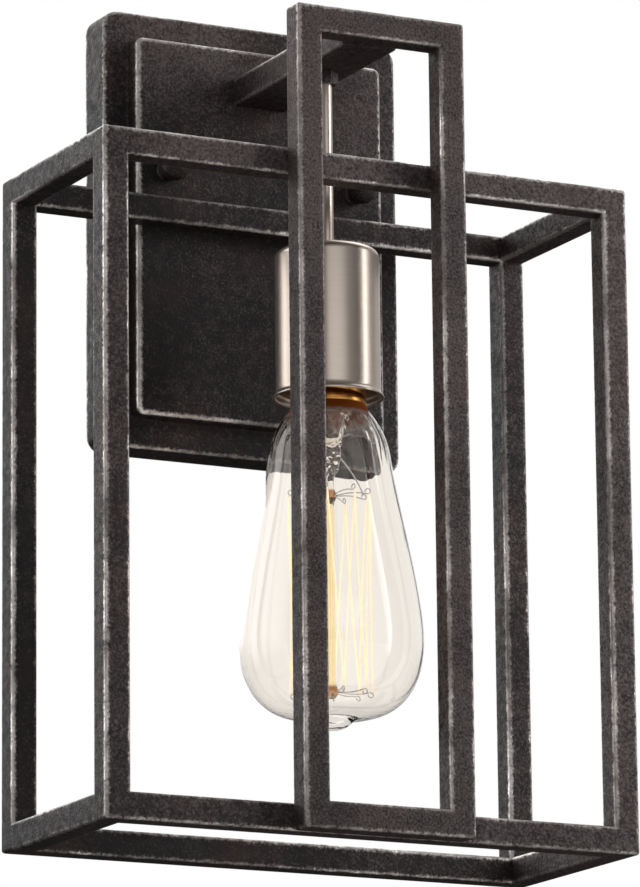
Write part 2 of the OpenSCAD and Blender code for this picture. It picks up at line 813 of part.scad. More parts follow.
// Two wires from the pinch out to the first and last hooks
module lead_in_wires() {
  color(zinc) for (s = [0, 1]) {
    low = ring_point(s * hook_count / 2, hook_count, filament_r - 1.2, filament_top + 2);
    high = [(s == 0 ? 1 : -1) * (pinch_r + lead_in_d / 3), -lamp_out, pinch_z];
    rod(high, low, lead_in_d, 16);
  }
}

// Radial wires from the buttons to the filament's turning points
module filament_hooks() {
  color(zinc) for (i = [0:hook_count - 1]) {
    rod(ring_point(i, hook_count, button_r, filament_top),
        ring_point(i, hook_count, filament_r - 0.45, filament_top), 0.4, 16);
    rod(ring_point(i + 0.5, hook_count, button_r, filament_bottom),
        ring_point(i + 0.5, hook_count, filament_r - 0.45, filament_bottom), 0.4, 16);
  }
}

// Up and down between the two rings of hooks
module filament() {
  knot = 0.7;
  color("#ffcf7a") for (i = [0:hook_count - 1]) {
    top = ring_point(i, hook_count, filament_r, filament_top);
    low = ring_point(i + 0.5, hook_count, filament_r, filament_bottom);
    rod(top, low, 0.4, 16);
    translate(low) sphere(d = knot, $fn = 24);
    if (i < hook_count - 1) {
      next = ring_point(i + 1, hook_count, filament_r, filament_top);
      rod(low, next, 0.4, 16);
    }
    translate(top) sphere(d = knot, $fn = 24);
  }
}

module cage_top_front() {
  cage_side(cage_top - tube / 2, 0);
}

module cage_top_right() {
  cage_side(cage_top - tube / 2, 1);
}

module cage_top_back() {
  cage_side(cage_top - tube / 2, 2);
}

module cage_top_left() {
  cage_side(cage_top - tube / 2, 3);
}

module cage_bottom_front() {
  cage_side(cage_bottom + tube / 2, 0);
}

module cage_bottom_right() {
  cage_side(cage_bottom + tube / 2, 1);
}

module cage_bottom_back() {
  cage_side(cage_bottom + tube / 2, 2);
}

module cage_bottom_left() {
  cage_side(cage_bottom + tube / 2, 3);
}

module cage_post_front_left() {
  cage_post(-1, -1);
}

module cage_post_front_right() {
  cage_post(1, -1);
}

module cage_post_back_left() {
  cage_post(-1, 1);
}

module cage_post_back_right() {
  cage_post(1, 1);
}

module centre_bottom() {
  centre_side(0);
}

module centre_post_right() {
  centre_side(1);
}

module centre_top() {
  centre_side(2);
}

module centre_post_left() {
  centre_side(3);
}

backplate();
box_strap();
stud_strap();
strap_rivet();
mounting_studs();
stud_lock_nuts();
ball_nut_left();
ball_nut_right();
ground_screw();
ground_wire();
arm();
arm_foot_plate();
foot_studs();
foot_nuts();
stem_insert();
stem_jam_nut();
stem();
cup();
socket_bracket();
cup_lock_washer();
cup_nut();
socket_body();
socket_shell();
centre_contact();
bracket_screws();
terminal_screws();
hot_lead();
neutral_lead();
wire_connectors();
bulb_glass();
bulb_base();
base_insulator();
base_contact();
glass_mount();
lead_in_wires();
filament_hooks();
filament();
cage_top_front();
cage_top_back();
cage_top_left();
cage_top_right();
cage_bottom_front();
cage_bottom_back();
cage_bottom_left();
cage_bottom_right();
cage_post_front_left();
cage_post_front_right();
cage_post_back_left();
cage_post_back_right();
centre_top();
centre_bottom();
centre_post_left();
centre_post_right();
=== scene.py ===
# Vanity wall sconce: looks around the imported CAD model.
# Lengths below are in millimetres, in the model's frame: X right, Y into the wall, Z up.
from functools import partial
import json
import math

import bmesh
import bpy
import numpy as np
from mathutils import Matrix, Vector


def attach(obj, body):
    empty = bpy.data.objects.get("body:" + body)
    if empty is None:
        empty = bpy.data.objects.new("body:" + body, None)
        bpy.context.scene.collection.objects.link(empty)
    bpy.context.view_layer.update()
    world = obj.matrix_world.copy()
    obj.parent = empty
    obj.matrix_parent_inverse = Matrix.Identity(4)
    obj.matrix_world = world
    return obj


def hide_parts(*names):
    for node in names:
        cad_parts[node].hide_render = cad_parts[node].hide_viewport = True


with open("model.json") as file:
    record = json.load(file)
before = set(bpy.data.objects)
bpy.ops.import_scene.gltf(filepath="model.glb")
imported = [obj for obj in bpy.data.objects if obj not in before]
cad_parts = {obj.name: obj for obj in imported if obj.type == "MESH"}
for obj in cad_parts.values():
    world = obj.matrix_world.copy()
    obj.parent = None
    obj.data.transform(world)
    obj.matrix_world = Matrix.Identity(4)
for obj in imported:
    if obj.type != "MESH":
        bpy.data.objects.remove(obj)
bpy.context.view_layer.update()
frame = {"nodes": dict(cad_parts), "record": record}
mm = 0.001
lampY = -73.0   # lamp axis in front of the wall
linkObject = bpy.context.scene.collection.objects.link
# options that many nodes share
smooth, multiplyAdd = {"interpolation_type": "SMOOTHSTEP"}, {"operation": "MULTIPLY_ADD"}
rgba = {"data_type": "RGBA"}
print("frame:", len(frame["nodes"]), "CAD nodes")


def linearColour(hexCode):
    # sRGB hex to linear red, green, blue and full alpha
    values = [int(hexCode[i:i + 2], 16) / 255 for i in (1, 3, 5)]
    return [v / 12.92 if v <= 0.04045 else ((v + 0.055) / 1.055) ** 2.4 for v in values] + [1.0]


def fillInputs(node, inputs):
    # inputs by name or number: a link from another node's output, a hex colour or a plain value
    for key, value in inputs.items():
        if isinstance(value, bpy.types.NodeSocket):
            node.id_data.links.new(value, node.inputs[key])
        else:
            node.inputs[key].default_value = linearColour(value) if isinstance(value, str) else value


def addNode(tree, kind, *inputs, out=None, **settings):
    # inputs in the order in which the node shows them, then its options or other inputs by name;
    # gives the named output, or the first one
    node = tree.nodes.new("ShaderNode" + kind)
    named = {key: settings.pop(key) for key in list(settings) if not hasattr(node, key)}
    for key, value in settings.items():
        setattr(node, key, value)
    shown = [k for k, socket in enumerate(node.inputs) if socket.enabled]
    fillInputs(node, dict(zip(shown, inputs)))
    fillInputs(node, named)
    return node.outputs[out] if out else next(s for s in node.outputs if s.enabled)


def newMaterial(name):
    # a material, its shader and what adds nodes to it
    material = bpy.data.materials.new(name)
    material.use_nodes = True
    return material, material.node_tree.nodes["Principled BSDF"], partial(addNode, material.node_tree)


# Dark pewter: a near-black, leathery patina on steel, with paler flecks and the corners rubbed back to
# silver grey. It reads edgeDistance, the millimetres from the nearest corner line of the tube or sheet,
# plus a share kept for each corner, larger where it faces away from the light, so the silver is also a
# painted highlight on lit corners. Its noises, fine to large, are given by grain size, detail and roughness.
# The patina was brushed thinner in large patches and beside the corners, and it is greyer in lighter spots,
# by centre, reach and strength. thinLevel sets its level, and the slope its change per metre along X, Y and
# Z:
# a painted light, greyer to the right, front and top, with painted shade to the left, back and bottom.
pewterLook = {
    "dark": "#1a1515", "grey": "#463a3a", "rust": "#48322d", "fleck": "#8b807e",
    "silver": "#e6e0dd", "rubRust": "#a58878",
    "noises": [(0.9, 2, 0.6), (3.0, 4, 0.65), (26.0, 3, 0.55)],
    # the slope is a painted light: greyer to the right, front and top, with painted shade to the left, back
    # and bottom
    "thinLevel": 0.08, "paintedLightSlope": (1.9, -6.4, 0.6), "patchThin": 1.1,
    # lighter spots: places where the patina is drawn greyer, each by centre, reach and strength
    "lighterSpots": [((-38, -106, -14), 52, 0.75), ((-30, -22, 52), 46, 0.75), ((46, -22, 30), 34, 0.35),
             ((97, -106, -60), 22, 0.3), ((-10, -64, 33), 34, 0.7)],
    "haloRange": (3.4, 0.4), "haloThin": 0.3,
    "byMottle": 1.25, "byFleck": 0.45, "byThinAndLit": 0.5, "greyRange": (0.9, 1.43),
    "rustRange": (0.48, 0.7), "rustShare": 0.4,
    "fleckRange": (0.6, 1.0), "fleckThinAndLit": 0.25, "fleckShare": 0.6, "fleckMetal": 0.4,
    "rubWidth": 1.15, "rubFade": 0.75, "rubMottle": 1.8, "rubFleck": 1.6,
    "restRange": (0.35, 0.6), "leastRub": 0.35,
    "roughness": 0.5, "rubRoughness": 0.33, "waxUneven": 0.55, "gloss": 0.27,
    "bumpDepth": 0.27, "bumpStrength": 0.8, "bumpMottle": 0.8,
}


def darkPewter():
    p = pewterLook
    material, shader, add = newMaterial("dark pewter patina on steel")
    place = add("TexCoord", out="Object")
    fleck, mottle, patch = [add("TexNoise", place, Scale=1 / (size * mm), Detail=detail, Roughness=rough)
                            for size, detail, rough in p["noises"]]
    cloud = add("SeparateColor", patch.node.outputs["Color"], out="Green")
    edge = add("Attribute", attribute_name="edgeDistance", out="Fac")
    # thinness and painted light: the slope (painted light to the right, front and top, painted shade behind
    # and below), plus large patches, the lighter spots and a halo beside each corner line
    thinAndLit = add("VectorMath", place, p["paintedLightSlope"], operation="DOT_PRODUCT")
    thinAndLit = add("Math", patch, p["patchThin"], thinAndLit, **multiplyAdd)
    for centre, reach, strength in p["lighterSpots"]:
        far = add("VectorMath", place, [v * mm for v in centre], operation="DISTANCE")
        spot = add("MapRange", far, reach * mm, reach * mm / 5, 0, strength, **smooth)
        thinAndLit = add("Math", thinAndLit, spot)
    level = p["thinLevel"] - p["patchThin"] / 2
    halo = add("MapRange", edge, *p["haloRange"], level, level + p["haloThin"], **smooth)
    thinAndLit = add("Math", thinAndLit, halo, use_clamp=True)
    # patina: dark to grey with both finer noises, greyer where it is thin and where light is painted, rusty
    # in soft clouds
    mottled = add("Math", mottle, p["byMottle"], operation="MULTIPLY")
    mottled = add("Math", fleck, p["byFleck"], mottled, **multiplyAdd)
    grey = add("Math", thinAndLit, p["byThinAndLit"], mottled, **multiplyAdd)
    grey = add("MapRange", grey, *p["greyRange"])
    ground = add("Mix", grey, p["dark"], p["grey"], **rgba)
    rusty = add("MapRange", cloud, *p["rustRange"], 0, p["rustShare"])
    ground = add("Mix", rusty, ground, p["rust"], **rgba)
    # flecks: the highest grains of the fine noise, more of them where the patina is thin and where light is
    # painted
    grains = add("Math", thinAndLit, p["fleckThinAndLit"], fleck, **multiplyAdd)
    flecked = add("MapRange", grains, *p["fleckRange"], 0, p["fleckShare"])
    ground = add("Mix", flecked, ground, p["fleck"], **rgba)
    # rubbed corners, and a painted highlight on the corners that face the light: the distance from the corner
    # line, roughened by both finer noises, less in some patches
    wobble = add("Math", mottle, -p["rubMottle"], edge, **multiplyAdd)
    wobble = add("Math", fleck, -p["rubFleck"], wobble, **multiplyAdd)
    width = p["rubWidth"] - (p["rubMottle"] + p["rubFleck"]) / 2
    rubbedAndLit = add("MapRange", wobble, width + p["rubFade"], width - p["rubFade"], **smooth)
    spread = add("MapRange", patch, *p["restRange"], p["leastRub"])
    rubbedAndLit = add("Math", rubbedAndLit, spread, operation="MULTIPLY")
    silver = add("Mix", rusty, p["silver"], p["rubRust"], **rgba)
    ground = add("Mix", rubbedAndLit, ground, silver, **rgba)
    bare = add("Math", flecked, p["fleckMetal"], rubbedAndLit, **multiplyAdd, use_clamp=True)
    # the wax over the patina is uneven too, which mottles what it mirrors
    waxed = add("MapRange", rubbedAndLit, 0, 1, p["roughness"], p["rubRoughness"])
    rough = add("Math", mottled, -p["waxUneven"], 0.5, **multiplyAdd)
    rough = add("Math", rough, waxed, use_clamp=True)
    height = add("Math", mottle, p["bumpMottle"], fleck, **multiplyAdd)
    bump = add("Bump", Strength=p["bumpStrength"], Distance=p["bumpDepth"] * mm, Height=height)
    fillInputs(shader, {"Base Color": ground, "Metallic": bare, "Roughness": rough,
                        "Specular IOR Level": p["gloss"], "Normal": bump})
    return material


# Brushed nickel: warm plate, brushed round the lamp axis, so that lights draw out into upright bands.
# The real brushing is too fine to show, so its lines are drawn coarser.
nickelLook = {"pale": "#d6c8bd", "deep": "#cbbdb1", "roughness": 0.32, "uneven": 0.04, "lineHeight": 0.3,
              "lineLength": 12.0, "cloudSize": 9.0, "cloudShare": 0.4, "bumpDepth": 0.0002}


def brushedNickel():
    p = nickelLook
    material, shader, add = newMaterial("nickel plate brushed round the axis")
    place = add("TexCoord", out="Object")
    across, up = 1 / (p["lineLength"] * mm), 1 / (p["lineHeight"] * mm)
    along = add("Mapping", place, Scale=(across, across, up))
    streak = add("TexNoise", along, Scale=1, Detail=3, Roughness=0.6)
    cloud = add("TexNoise", place, Scale=1 / (p["cloudSize"] * mm), Detail=2)
    tone = add("Math", cloud, p["cloudShare"], streak, **multiplyAdd, use_clamp=True)
    tone = add("MapRange", tone, 0.4, 1)
    colour = add("Mix", tone, p["deep"], p["pale"], **rgba)
    rough = add("Math", streak, p["uneven"], p["roughness"] - p["uneven"] / 2, **multiplyAdd)
    bump = add("Bump", Strength=0.5, Distance=p["bumpDepth"] * mm, Height=streak)
    fillInputs(shader, {"Base Color": colour, "Metallic": 1, "Roughness": rough, "Normal": bump})
    return material


# The smaller finishes share one recipe: two tones, the roughness and a shallow bump from one noise of
# the grain's real size. Each has its material, both tones, metallic, roughness, grain size and bump depth.
finishes = {
    "zinc_plate": ("bright zinc plate on steel", "#e2e4e5", "#c2c6c9", 0.85, 0.32, 1.6, 0.01),
    "green_screw": ("green dyed zinc plate", "#4f9a5a", "#2f6a3c", 0.7, 0.38, 1.2, 0.01),
    "copper_wire": ("bare drawn copper", "#c98458", "#a4603c", 1.0, 0.35, 1.5, 0.01),
    "moulded_socket": ("moulded cream phenolic", "#d3c4ab", "#bda98a", 0.0, 0.5, 2.5, 0.03),
    "brass": ("stamped brass, baked cement inside the cap", "#dca75c", "#b97c3a", 1.0, 0.3, 2.2, 0.01),
    "black_lead": ("extruded black insulation", "#2a292b", "#19181a", 0.0, 0.45, 0.9, 0.02),
    "white_lead": ("extruded white insulation", "#ebe7dd", "#d8d2c4", 0.0, 0.45, 0.9, 0.02),
    "connector_shell": ("moulded orange nylon", "#cf6a2e", "#b1551f", 0.0, 0.42, 1.8, 0.03),
    "black_glass": ("fused black glass insulator", "#2b2422", "#151110", 0.0, 0.18, 2.0, 0.01),
}
capCement = "#e38a3c"
unevenRoughness = 0.16


def plainFinish(slot):
    name, pale, deep, metallic, roughness, grainSize, bumpDepth = finishes[slot]
    material, shader, add = newMaterial(name)
    place = add("TexCoord", out="Object")
    grain = add("TexNoise", place, Scale=1 / (grainSize * mm), Detail=4, Roughness=0.6)
    tone = add("MapRange", grain, 0.32, 0.68)
    colour = add("Mix", tone, deep, pale, **rgba)
    shader.inputs["Metallic"].default_value = metallic
    if slot == "brass":
        # the attribute cement is 1 on faces that carry cement in place of bare metal
        cement = add("Attribute", attribute_name="cement", out="Fac")
        colour = add("Mix", cement, colour, capCement, **rgba)
        fillInputs(shader, {"Metallic": add("Math", 1, cement, operation="SUBTRACT")})
    rough = add("Math", grain, unevenRoughness, roughness - unevenRoughness / 2, **multiplyAdd)
    bump = add("Bump", Strength=0.5, Distance=bumpDepth * mm, Height=grain)
    fillInputs(shader, {"Base Color": colour, "Roughness": rough, "Normal": bump})
    return material


# Clear blown soda-lime glass with a faint cream cast and an amber rod. Blown glass is never quite even:
# slow waves, longer up and down than across, deepest where the neck was heated and drawn in.
glassLook = {"tint": "#fbf7f2", "rod": "#ffefc2", "button": "#b98358", "cement": "#98501f", "ior": 1.45,
             "cementGrain": 3.0, "cementCover": 0.85, "waveSize": 3.6, "stretch": 26.0,
             "waveDepth": 0.045, "neckDepth": 0.8, "neckFrom": -119.5, "neckTo": -104.0}


def blownGlass():
    p = glassLook
    material, shader, add = newMaterial("clear blown soda-lime glass")
    place = add("TexCoord", out="Object")
    # amber is 1 on the rod and button on its two beads, browned by the wire; cement rises to 1 at the
    # neck's end, which what holds the cap coats in an uneven ring
    amber, button, cement = [add("Attribute", attribute_name=name, out="Fac")
                             for name in ("amber", "button", "cement")]
    colour = add("Mix", amber, p["tint"], p["rod"], **rgba)
    colour = add("Mix", button, colour, p["button"], **rgba)
    spread = add("TexNoise", place, Scale=1 / (p["cementGrain"] * mm), Detail=3)
    coated = add("Math", spread, 0.5, cement, **multiplyAdd)
    coated = add("MapRange", coated, 0.4, 1, **smooth)
    colour = add("Mix", coated, colour, p["cement"], **rgba)
    clear = add("Math", coated, -p["cementCover"], 1, **multiplyAdd)
    wave = 1 / (p["waveSize"] * mm)
    along = add("Mapping", place, Scale=(wave, wave, wave / p["stretch"]))
    swell = add("TexNoise", along, Scale=1, Detail=1)
    height = add("SeparateXYZ", place, out="Z")
    depth = add("MapRange", height, p["neckFrom"] * mm, p["neckTo"] * mm, p["waveDepth"], p["neckDepth"],
                **smooth)
    swell = add("Math", swell, depth, operation="MULTIPLY")
    bump = add("Bump", Strength=0.5, Distance=mm, Height=swell)
    fillInputs(shader, {"Base Color": colour, "Transmission Weight": clear, "Roughness": 0,
                        "IOR": p["ior"], "Normal": bump})
    return material


# Filament: drawn wire that shows golden amber, with a painted glow of its own, though no lamp lights the bulb
goldenLook = {"pale": "#fff0d6", "deep": "#f2cf9c", "roughness": 0.35, "grain": 2.5,
              "glow": "#ffe2b6", "paintedGlowStrength": 0.72}


def goldenFilament():
    p = goldenLook
    material, shader, add = newMaterial("drawn filament wire, golden")
    place = add("TexCoord", out="Object")
    grain = add("TexNoise", place, Scale=1 / (p["grain"] * mm), Detail=2)
    colour = add("Mix", grain, p["deep"], p["pale"], **rgba)
    fillInputs(shader, {"Base Color": colour, "Metallic": 1, "Roughness": p["roughness"],
                        "Emission Color": p["glow"], "Emission Strength": p["paintedGlowStrength"]})
    return material


materials = {slot: plainFinish(slot) for slot in finishes}
materials["dark_pewter"] = darkPewter()
materials["brushed_nickel"] = brushedNickel()
materials["clear_glass"] = blownGlass()
materials["filament"] = goldenFilament()
print("materials:", len(materials))

slotOf = {s["node"]: s["material_slot"] for s in frame["record"]["subparts"]}
for node, obj in frame["nodes"].items():
    obj.data.materials.clear()
    obj.data.materials.append(materials[slotOf[node]])


def gridFaces(rows, columns, wrap=False):
    # quads between neighbours of a rows by columns grid, joined round its columns and, with wrap, its rows
    i, j = np.meshgrid(np.arange(rows if wrap else rows - 1), np.arange(columns), indexing="ij")
    nextI, nextJ = (i + 1) % rows, (j + 1) % columns
    quads = [i * columns + j, i * columns + nextJ, nextI * columns + nextJ, nextI * columns + j]
    return np.stack(quads, -1).reshape(-1, 4)


def outwardShell(points, faces, merge=0.0):
    # a bmesh of the points and faces, near points merged and its faces turned outwards
    mesh = bpy.data.meshes.new("shell")
    mesh.from_pydata(np.reshape(points, (-1, 3)).tolist(), [], [list(map(int, face)) for face in faces])
    bm = bmesh.new()
    bm.from_mesh(mesh)
    bpy.data.meshes.remove(mesh)
    if merge:
        bmesh.ops.remove_doubles(bm, verts=bm.verts, dist=merge)
    bmesh.ops.recalc_face_normals(bm, faces=bm.faces)
    return bm


def addObject(name, points, faces, merge=0.0):
    # a scene object from points in millimetres
    mesh = bpy.data.meshes.new(name)
    bm = outwardShell(np.asarray(points, float) * mm, faces, merge)
    bm.to_mesh(mesh)
    bm.free()
    obj = bpy.data.objects.new(name, mesh)
    linkObject(obj)
    return obj


def places(mesh):
    # the mesh's points in millimetres
    flat = np.empty(len(mesh.vertices) * 3)
    mesh.vertices.foreach_get("co", flat)
    return flat.reshape(-1, 3) / mm


def setAttribute(mesh, name, values):
    layer = mesh.attributes.get(name) or mesh.attributes.new(name, "FLOAT", "POINT")
    layer.data.foreach_set("value", values.astype(np.float32))


def keepFlat(obj):
    # flat faces keep their own normal up to the rounded corner
    obj.modifiers.new("flatFaces", "WEIGHTED_NORMAL").keep_sharp = True


def addPiece(name, shape, node, body="root", sharp=35, edgeDistanceFor=None, flat=False):
    # points in millimetres and faces become one closed piece that stands for the CAD node
    obj = addObject(name, *shape, 1e-6)
    mesh, slotName = obj.data, slotOf[node]
    mesh.materials.append(materials[slotName])
    mesh.shade_smooth()
    mesh.set_sharp_from_angle(angle=math.radians(sharp))
    if edgeDistanceFor:
        setAttribute(mesh, "edgeDistance", edgeDistanceFor(places(mesh)))
    if flat:
        keepFlat(obj)
    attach(obj, body)
    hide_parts(node)
    return obj


def distanceToLines(lines, kept):
    # distance from each point to the nearest corner line, plus the patina kept along that line, larger on
    # lines away from the light: painted shade
    starts, run = lines[:, 0], lines[:, 1] - lines[:, 0]
    length2 = (run ** 2).sum(1)

    def measure(points):
        offset = points[:, None] - starts
        along = np.clip((offset * run).sum(2) / length2, 0, 1)
        return (np.linalg.norm(offset - along[..., None] * run, axis=2) + kept).min(1)
    return measure


def keptAwayFromLight(lines, p):
    # corners are rubbed most on upright lines at a tube's left front, then on top, least on back rails:
    # a painted highlight on the corners the lights catch, and painted shade on those behind
    kept, tube = tubeLook["kept"], tubeLook["tube"]
    x, y, z = lines.mean(1).T
    upright = np.abs(lines[:, 1, 2] - lines[:, 0, 2]) > 1
    left = (np.abs(x - p["left"]) < 0.1) | (np.abs(x - p["right"] + tube) < 0.1)
    front = (np.abs(y - p["front"]) < 0.1) | (np.abs(y - p["back"] + tube) < 0.1)
    top = ~upright & (front | left) & (np.abs(z - p["top"]) < 0.1)
    behind = ~upright & (y > (p["front"] + p["back"]) / 2 + 1)
    most = upright & left & front
    return np.where(most, 0, np.where(top, kept["top"], kept["other"])) + kept["behind"] * behind


def latticeBlock(stops, filled, corner):
    # boundary of the filled cells of a lattice with the given stops along X, Y and Z,
    # its convex corners rounded by corner; also gives those corner lines before rounding
    size = np.array(filled.shape) + 1
    quads = []
    for axis in range(3):
        pad = np.zeros((3, 2), int)
        pad[axis] = 1
        change = np.diff(np.pad(filled.astype(int), pad), axis=axis)
        corners = np.insert([[0, 0], [1, 0], [1, 1], [0, 1]], axis, 0, axis=1) + np.argwhere(change)[:, None]
        quads.append(np.ravel_multi_index(corners.transpose(2, 0, 1), size))
    quads = np.concatenate(quads)
    used, faces = np.unique(quads, return_inverse=True)
    index = np.stack(np.unravel_index(used, size), 1)
    points = np.stack([stops[a][index[:, a]] for a in range(3)], 1)
    bm = outwardShell(points, faces.reshape(-1, 4))
    sharpEdges = [e for e in bm.edges if e.is_convex and e.calc_face_angle(0) > 0.5]
    lines = np.array([[v.co for v in e.verts] for e in sharpEdges])
    bmesh.ops.bevel(bm, geom=sharpEdges, offset=corner, offset_type="OFFSET", segments=3, profile=0.5,
                    affect="EDGES", clamp_overlap=True, loop_slide=True)
    return bm, lines


def addTube(name, block, planes, node, edgeDistanceFor):
    # one tube: the part of a block behind every plane, given as a point and an outward direction
    bm = block.copy()
    for point, direction in planes:
        bmesh.ops.bisect_plane(bm, geom=bm.verts[:] + bm.edges[:] + bm.faces[:], dist=1e-5,
                               plane_co=point, plane_no=direction, clear_outer=True)
        bmesh.ops.holes_fill(bm, edges=[e for e in bm.edges if e.is_boundary], sides=0)
    points = np.array([v.co for v in bm.verts])
    bm.verts.index_update()
    faces = [[v.index for v in f.verts] for f in bm.faces]
    bm.free()
    addPiece(name, (points, faces), node, edgeDistanceFor=edgeDistanceFor, flat=True)


# Cage and centre frame: square tube with soft corners, the joints dressed flush
# corner lines away from the light keep more patina: painted shade, which leaves a painted highlight on the
# upright left front corners
tubeLook = {"tube": 9.5, "corner": 1.1, "inset": 2.5, "kept": {"top": 0.25, "other": 0.5, "behind": 0.7}}
cagePlace = {"left": -101.6, "right": 101.6, "front": -106.6, "back": -22.3, "bottom": -248.8, "top": -11.7}
centrePlace = {"left": -32.4, "right": 32.4, "front": -116.1, "back": -106.6, "bottom": -248.8, "top": 37.8}


def tubeStops(low, high):
    # stops at a tube's corners, a little inside them and at its middle, at both ends of a span
    tube, inset = tubeLook["tube"], tubeLook["inset"]
    across = np.array([0, inset, tube / 2, tube - inset, tube])
    return np.concatenate([low + across, high - across[::-1]]), np.array([1] * 4 + [0] + [1] * 4, bool)


def buildCage():
    p = cagePlace
    (xs, inX), (ys, inY), (zs, inZ) = [tubeStops(p[low], p[high]) for low, high in
                                       (("left", "right"), ("front", "back"), ("bottom", "top"))]
    # a cell is tube where it lies in the tube's width along at least two axes
    filled = (inX[:, None, None].astype(int) + inY[:, None] + inZ) >= 2
    block, lines = latticeBlock((xs, ys, zs), filled, tubeLook["corner"])
    edgeDistanceFor = distanceToLines(lines, keptAwayFromLight(lines, p))
    middleY = (p["front"] + p["back"]) / 2
    sidesX, sidesY = (("left", -1), ("right", 1)), (("front", -1), ("back", 1))
    mitres = {(sx, sy): ((p[side], p[depth], 0), np.array([sx, -sy, 0.0]))
              for side, sx in sidesX for depth, sy in sidesY}
    ring = tubeLook["tube"] + 0.05   # the rings are cut from the posts just clear of their flat side
    ringCuts = {"top": ((0, 0, p["top"] - ring), np.array([0, 0, -1])),
                "bottom": ((0, 0, p["bottom"] + ring), np.array([0, 0, 1]))}
    for name, ringCut in ringCuts.items():
        for side, sy in sidesY:
            planes = [ringCut, ((0, middleY, 0), (0, -sy, 0))] + [mitres[sx, sy] for sx in (-1, 1)]
            addTube(f"cageTube_{name}_{side}", block, planes, f"cage_{name}_{side}", edgeDistanceFor)
        for side, sx in sidesX:
            planes = [ringCut] + [(mitres[sx, sy][0], -mitres[sx, sy][1]) for sy in (-1, 1)]
            addTube(f"cageTube_{name}_{side}", block, planes, f"cage_{name}_{side}", edgeDistanceFor)
    for depth, sy in sidesY:
        for side, sx in sidesX:
            planes = [(at, -out) for at, out in ringCuts.values()]
            planes += [((0, 0, 0), (-sx, 0, 0)), ((0, middleY, 0), (0, -sy, 0))]
            addTube(f"cagePost_{depth}_{side}", block, planes, f"cage_post_{depth}_{side}", edgeDistanceFor)
    block.free()


def buildCentreFrame():
    p = centrePlace
    (xs, inX), (zs, inZ) = tubeStops(p["left"], p["right"]), tubeStops(p["bottom"], p["top"])
    ys = tubeStops(p["front"], p["back"])[0][:5]
    filled = np.repeat((inX[:, None, None] | inZ[None, None, :]), 4, axis=1)
    block, lines = latticeBlock((xs, ys, zs), filled, tubeLook["corner"])
    edgeDistanceFor = distanceToLines(lines, keptAwayFromLight(lines, p))
    middleZ = (p["bottom"] + p["top"]) / 2
    for name, sz in (("top", 1), ("bottom", -1)):
        planes = [((p["left"], 0, p[name]), (-1, 0, -sz)), ((p["right"], 0, p[name]), (1, 0, -sz)),
                  ((0, 0, middleZ), (0, 0, -sz))]
        addTube(f"centreTube_{name}", block, planes, f"centre_{name}", edgeDistanceFor)
    for name, sx in (("left", -1), ("right", 1)):
        planes = [((p[name], 0, p["top"]), (-sx, 0, 1)), ((p[name], 0, p["bottom"]), (-sx, 0, -1)),
                  ((0, 0, 0), (-sx, 0, 0))]
        addTube(f"centrePost_{name}", block, planes, f"centre_post_{name}", edgeDistanceFor)
    block.free()


buildCage()
buildCentreFrame()
print("cage and centre frame built")


def roundRect(halfWidth, halfHeight, corner, inset=2.5, steps=6):
    # outline of a rectangle with round corners, anticlockwise, with extra points inset from each corner
    turns = np.linspace(0, np.pi / 2, steps + 1)
    out = []
    for k, (sx, sz) in enumerate(((1, 1), (-1, 1), (-1, -1), (1, -1))):
        centre = np.array([sx * (halfWidth - corner), sz * (halfHeight - corner)])
        arc = centre + corner * np.stack([np.cos(turns + k * np.pi / 2), np.sin(turns + k * np.pi / 2)], 1)
        before, after = ((0, -sz * inset), (-sx * inset, 0))[::1 if k % 2 == 0 else -1]
        out.append(np.vstack([arc[0] + before, arc, arc[-1] + after]))
    return np.concatenate(out)


def loftRings(rings, centreZ, closed):
    # round rectangles (half width, half height, corner, depth) skinned one after the other
    outlines = np.stack([roundRect(w, h, c) for w, h, c, d in rings])
    depth = np.array([d for w, h, c, d in rings])
    points = np.empty(outlines.shape[:2] + (3,))
    points[..., 0] = outlines[..., 0]
    points[..., 1] = -depth[:, None]
    points[..., 2] = outlines[..., 1] + centreZ
    count = outlines.shape[1]
    faces = gridFaces(len(rings), count, closed).tolist()
    if not closed:
        faces += [range(k * count, (k + 1) * count) for k in (0, len(rings) - 1)]
    return points, faces


def filletSteps(radius, fromAngle, toAngle, steps=5):
    # points of a rounded corner, as pairs of (sideways, forwards) from its centre
    angles = np.radians(np.linspace(fromAngle, toAngle, steps + 1))
    return [(radius * math.cos(a), radius * math.sin(a)) for a in angles]


# Backplate: a dished sheet with a raised panel, drawn with soft corners.
# Its base, panel and slot are given by half width, half height and corner.
# the panel keeps less patina on its left side, which faces the light: a painted highlight there
plateLook = {"base": (58.7, 79.8, 6.0), "panel": (49.0, 69.0, 3.0), "slot": (10.58, 5.18, 1.28),
             "centreZ": -20.2, "rim": 14.8, "front": 22.3, "wall": 1.6, "rimRound": 1.3, "panelRound": 1.7,
             "panelFoot": 1.0, "studX": 37.5, "studHole": 2.8,
             "rimKept": 0.4, "backKept": 0.5, "panelKeptAwayFromLight": (-0.3, 0.2)}


def rectDistance(points, outline, depth, kept):
    # distance from points to an outline of the plate at the given depth, with kept added
    halfWidth, halfHeight, corner = outline
    x = np.abs(points[:, 0]) - (halfWidth - corner)
    z = np.abs(points[:, 2] - plateLook["centreZ"]) - (halfHeight - corner)
    outside = np.hypot(np.maximum(x, 0), np.maximum(z, 0)) + np.minimum(np.maximum(x, z), 0) - corner
    return np.hypot(outside, points[:, 1] + depth) + kept


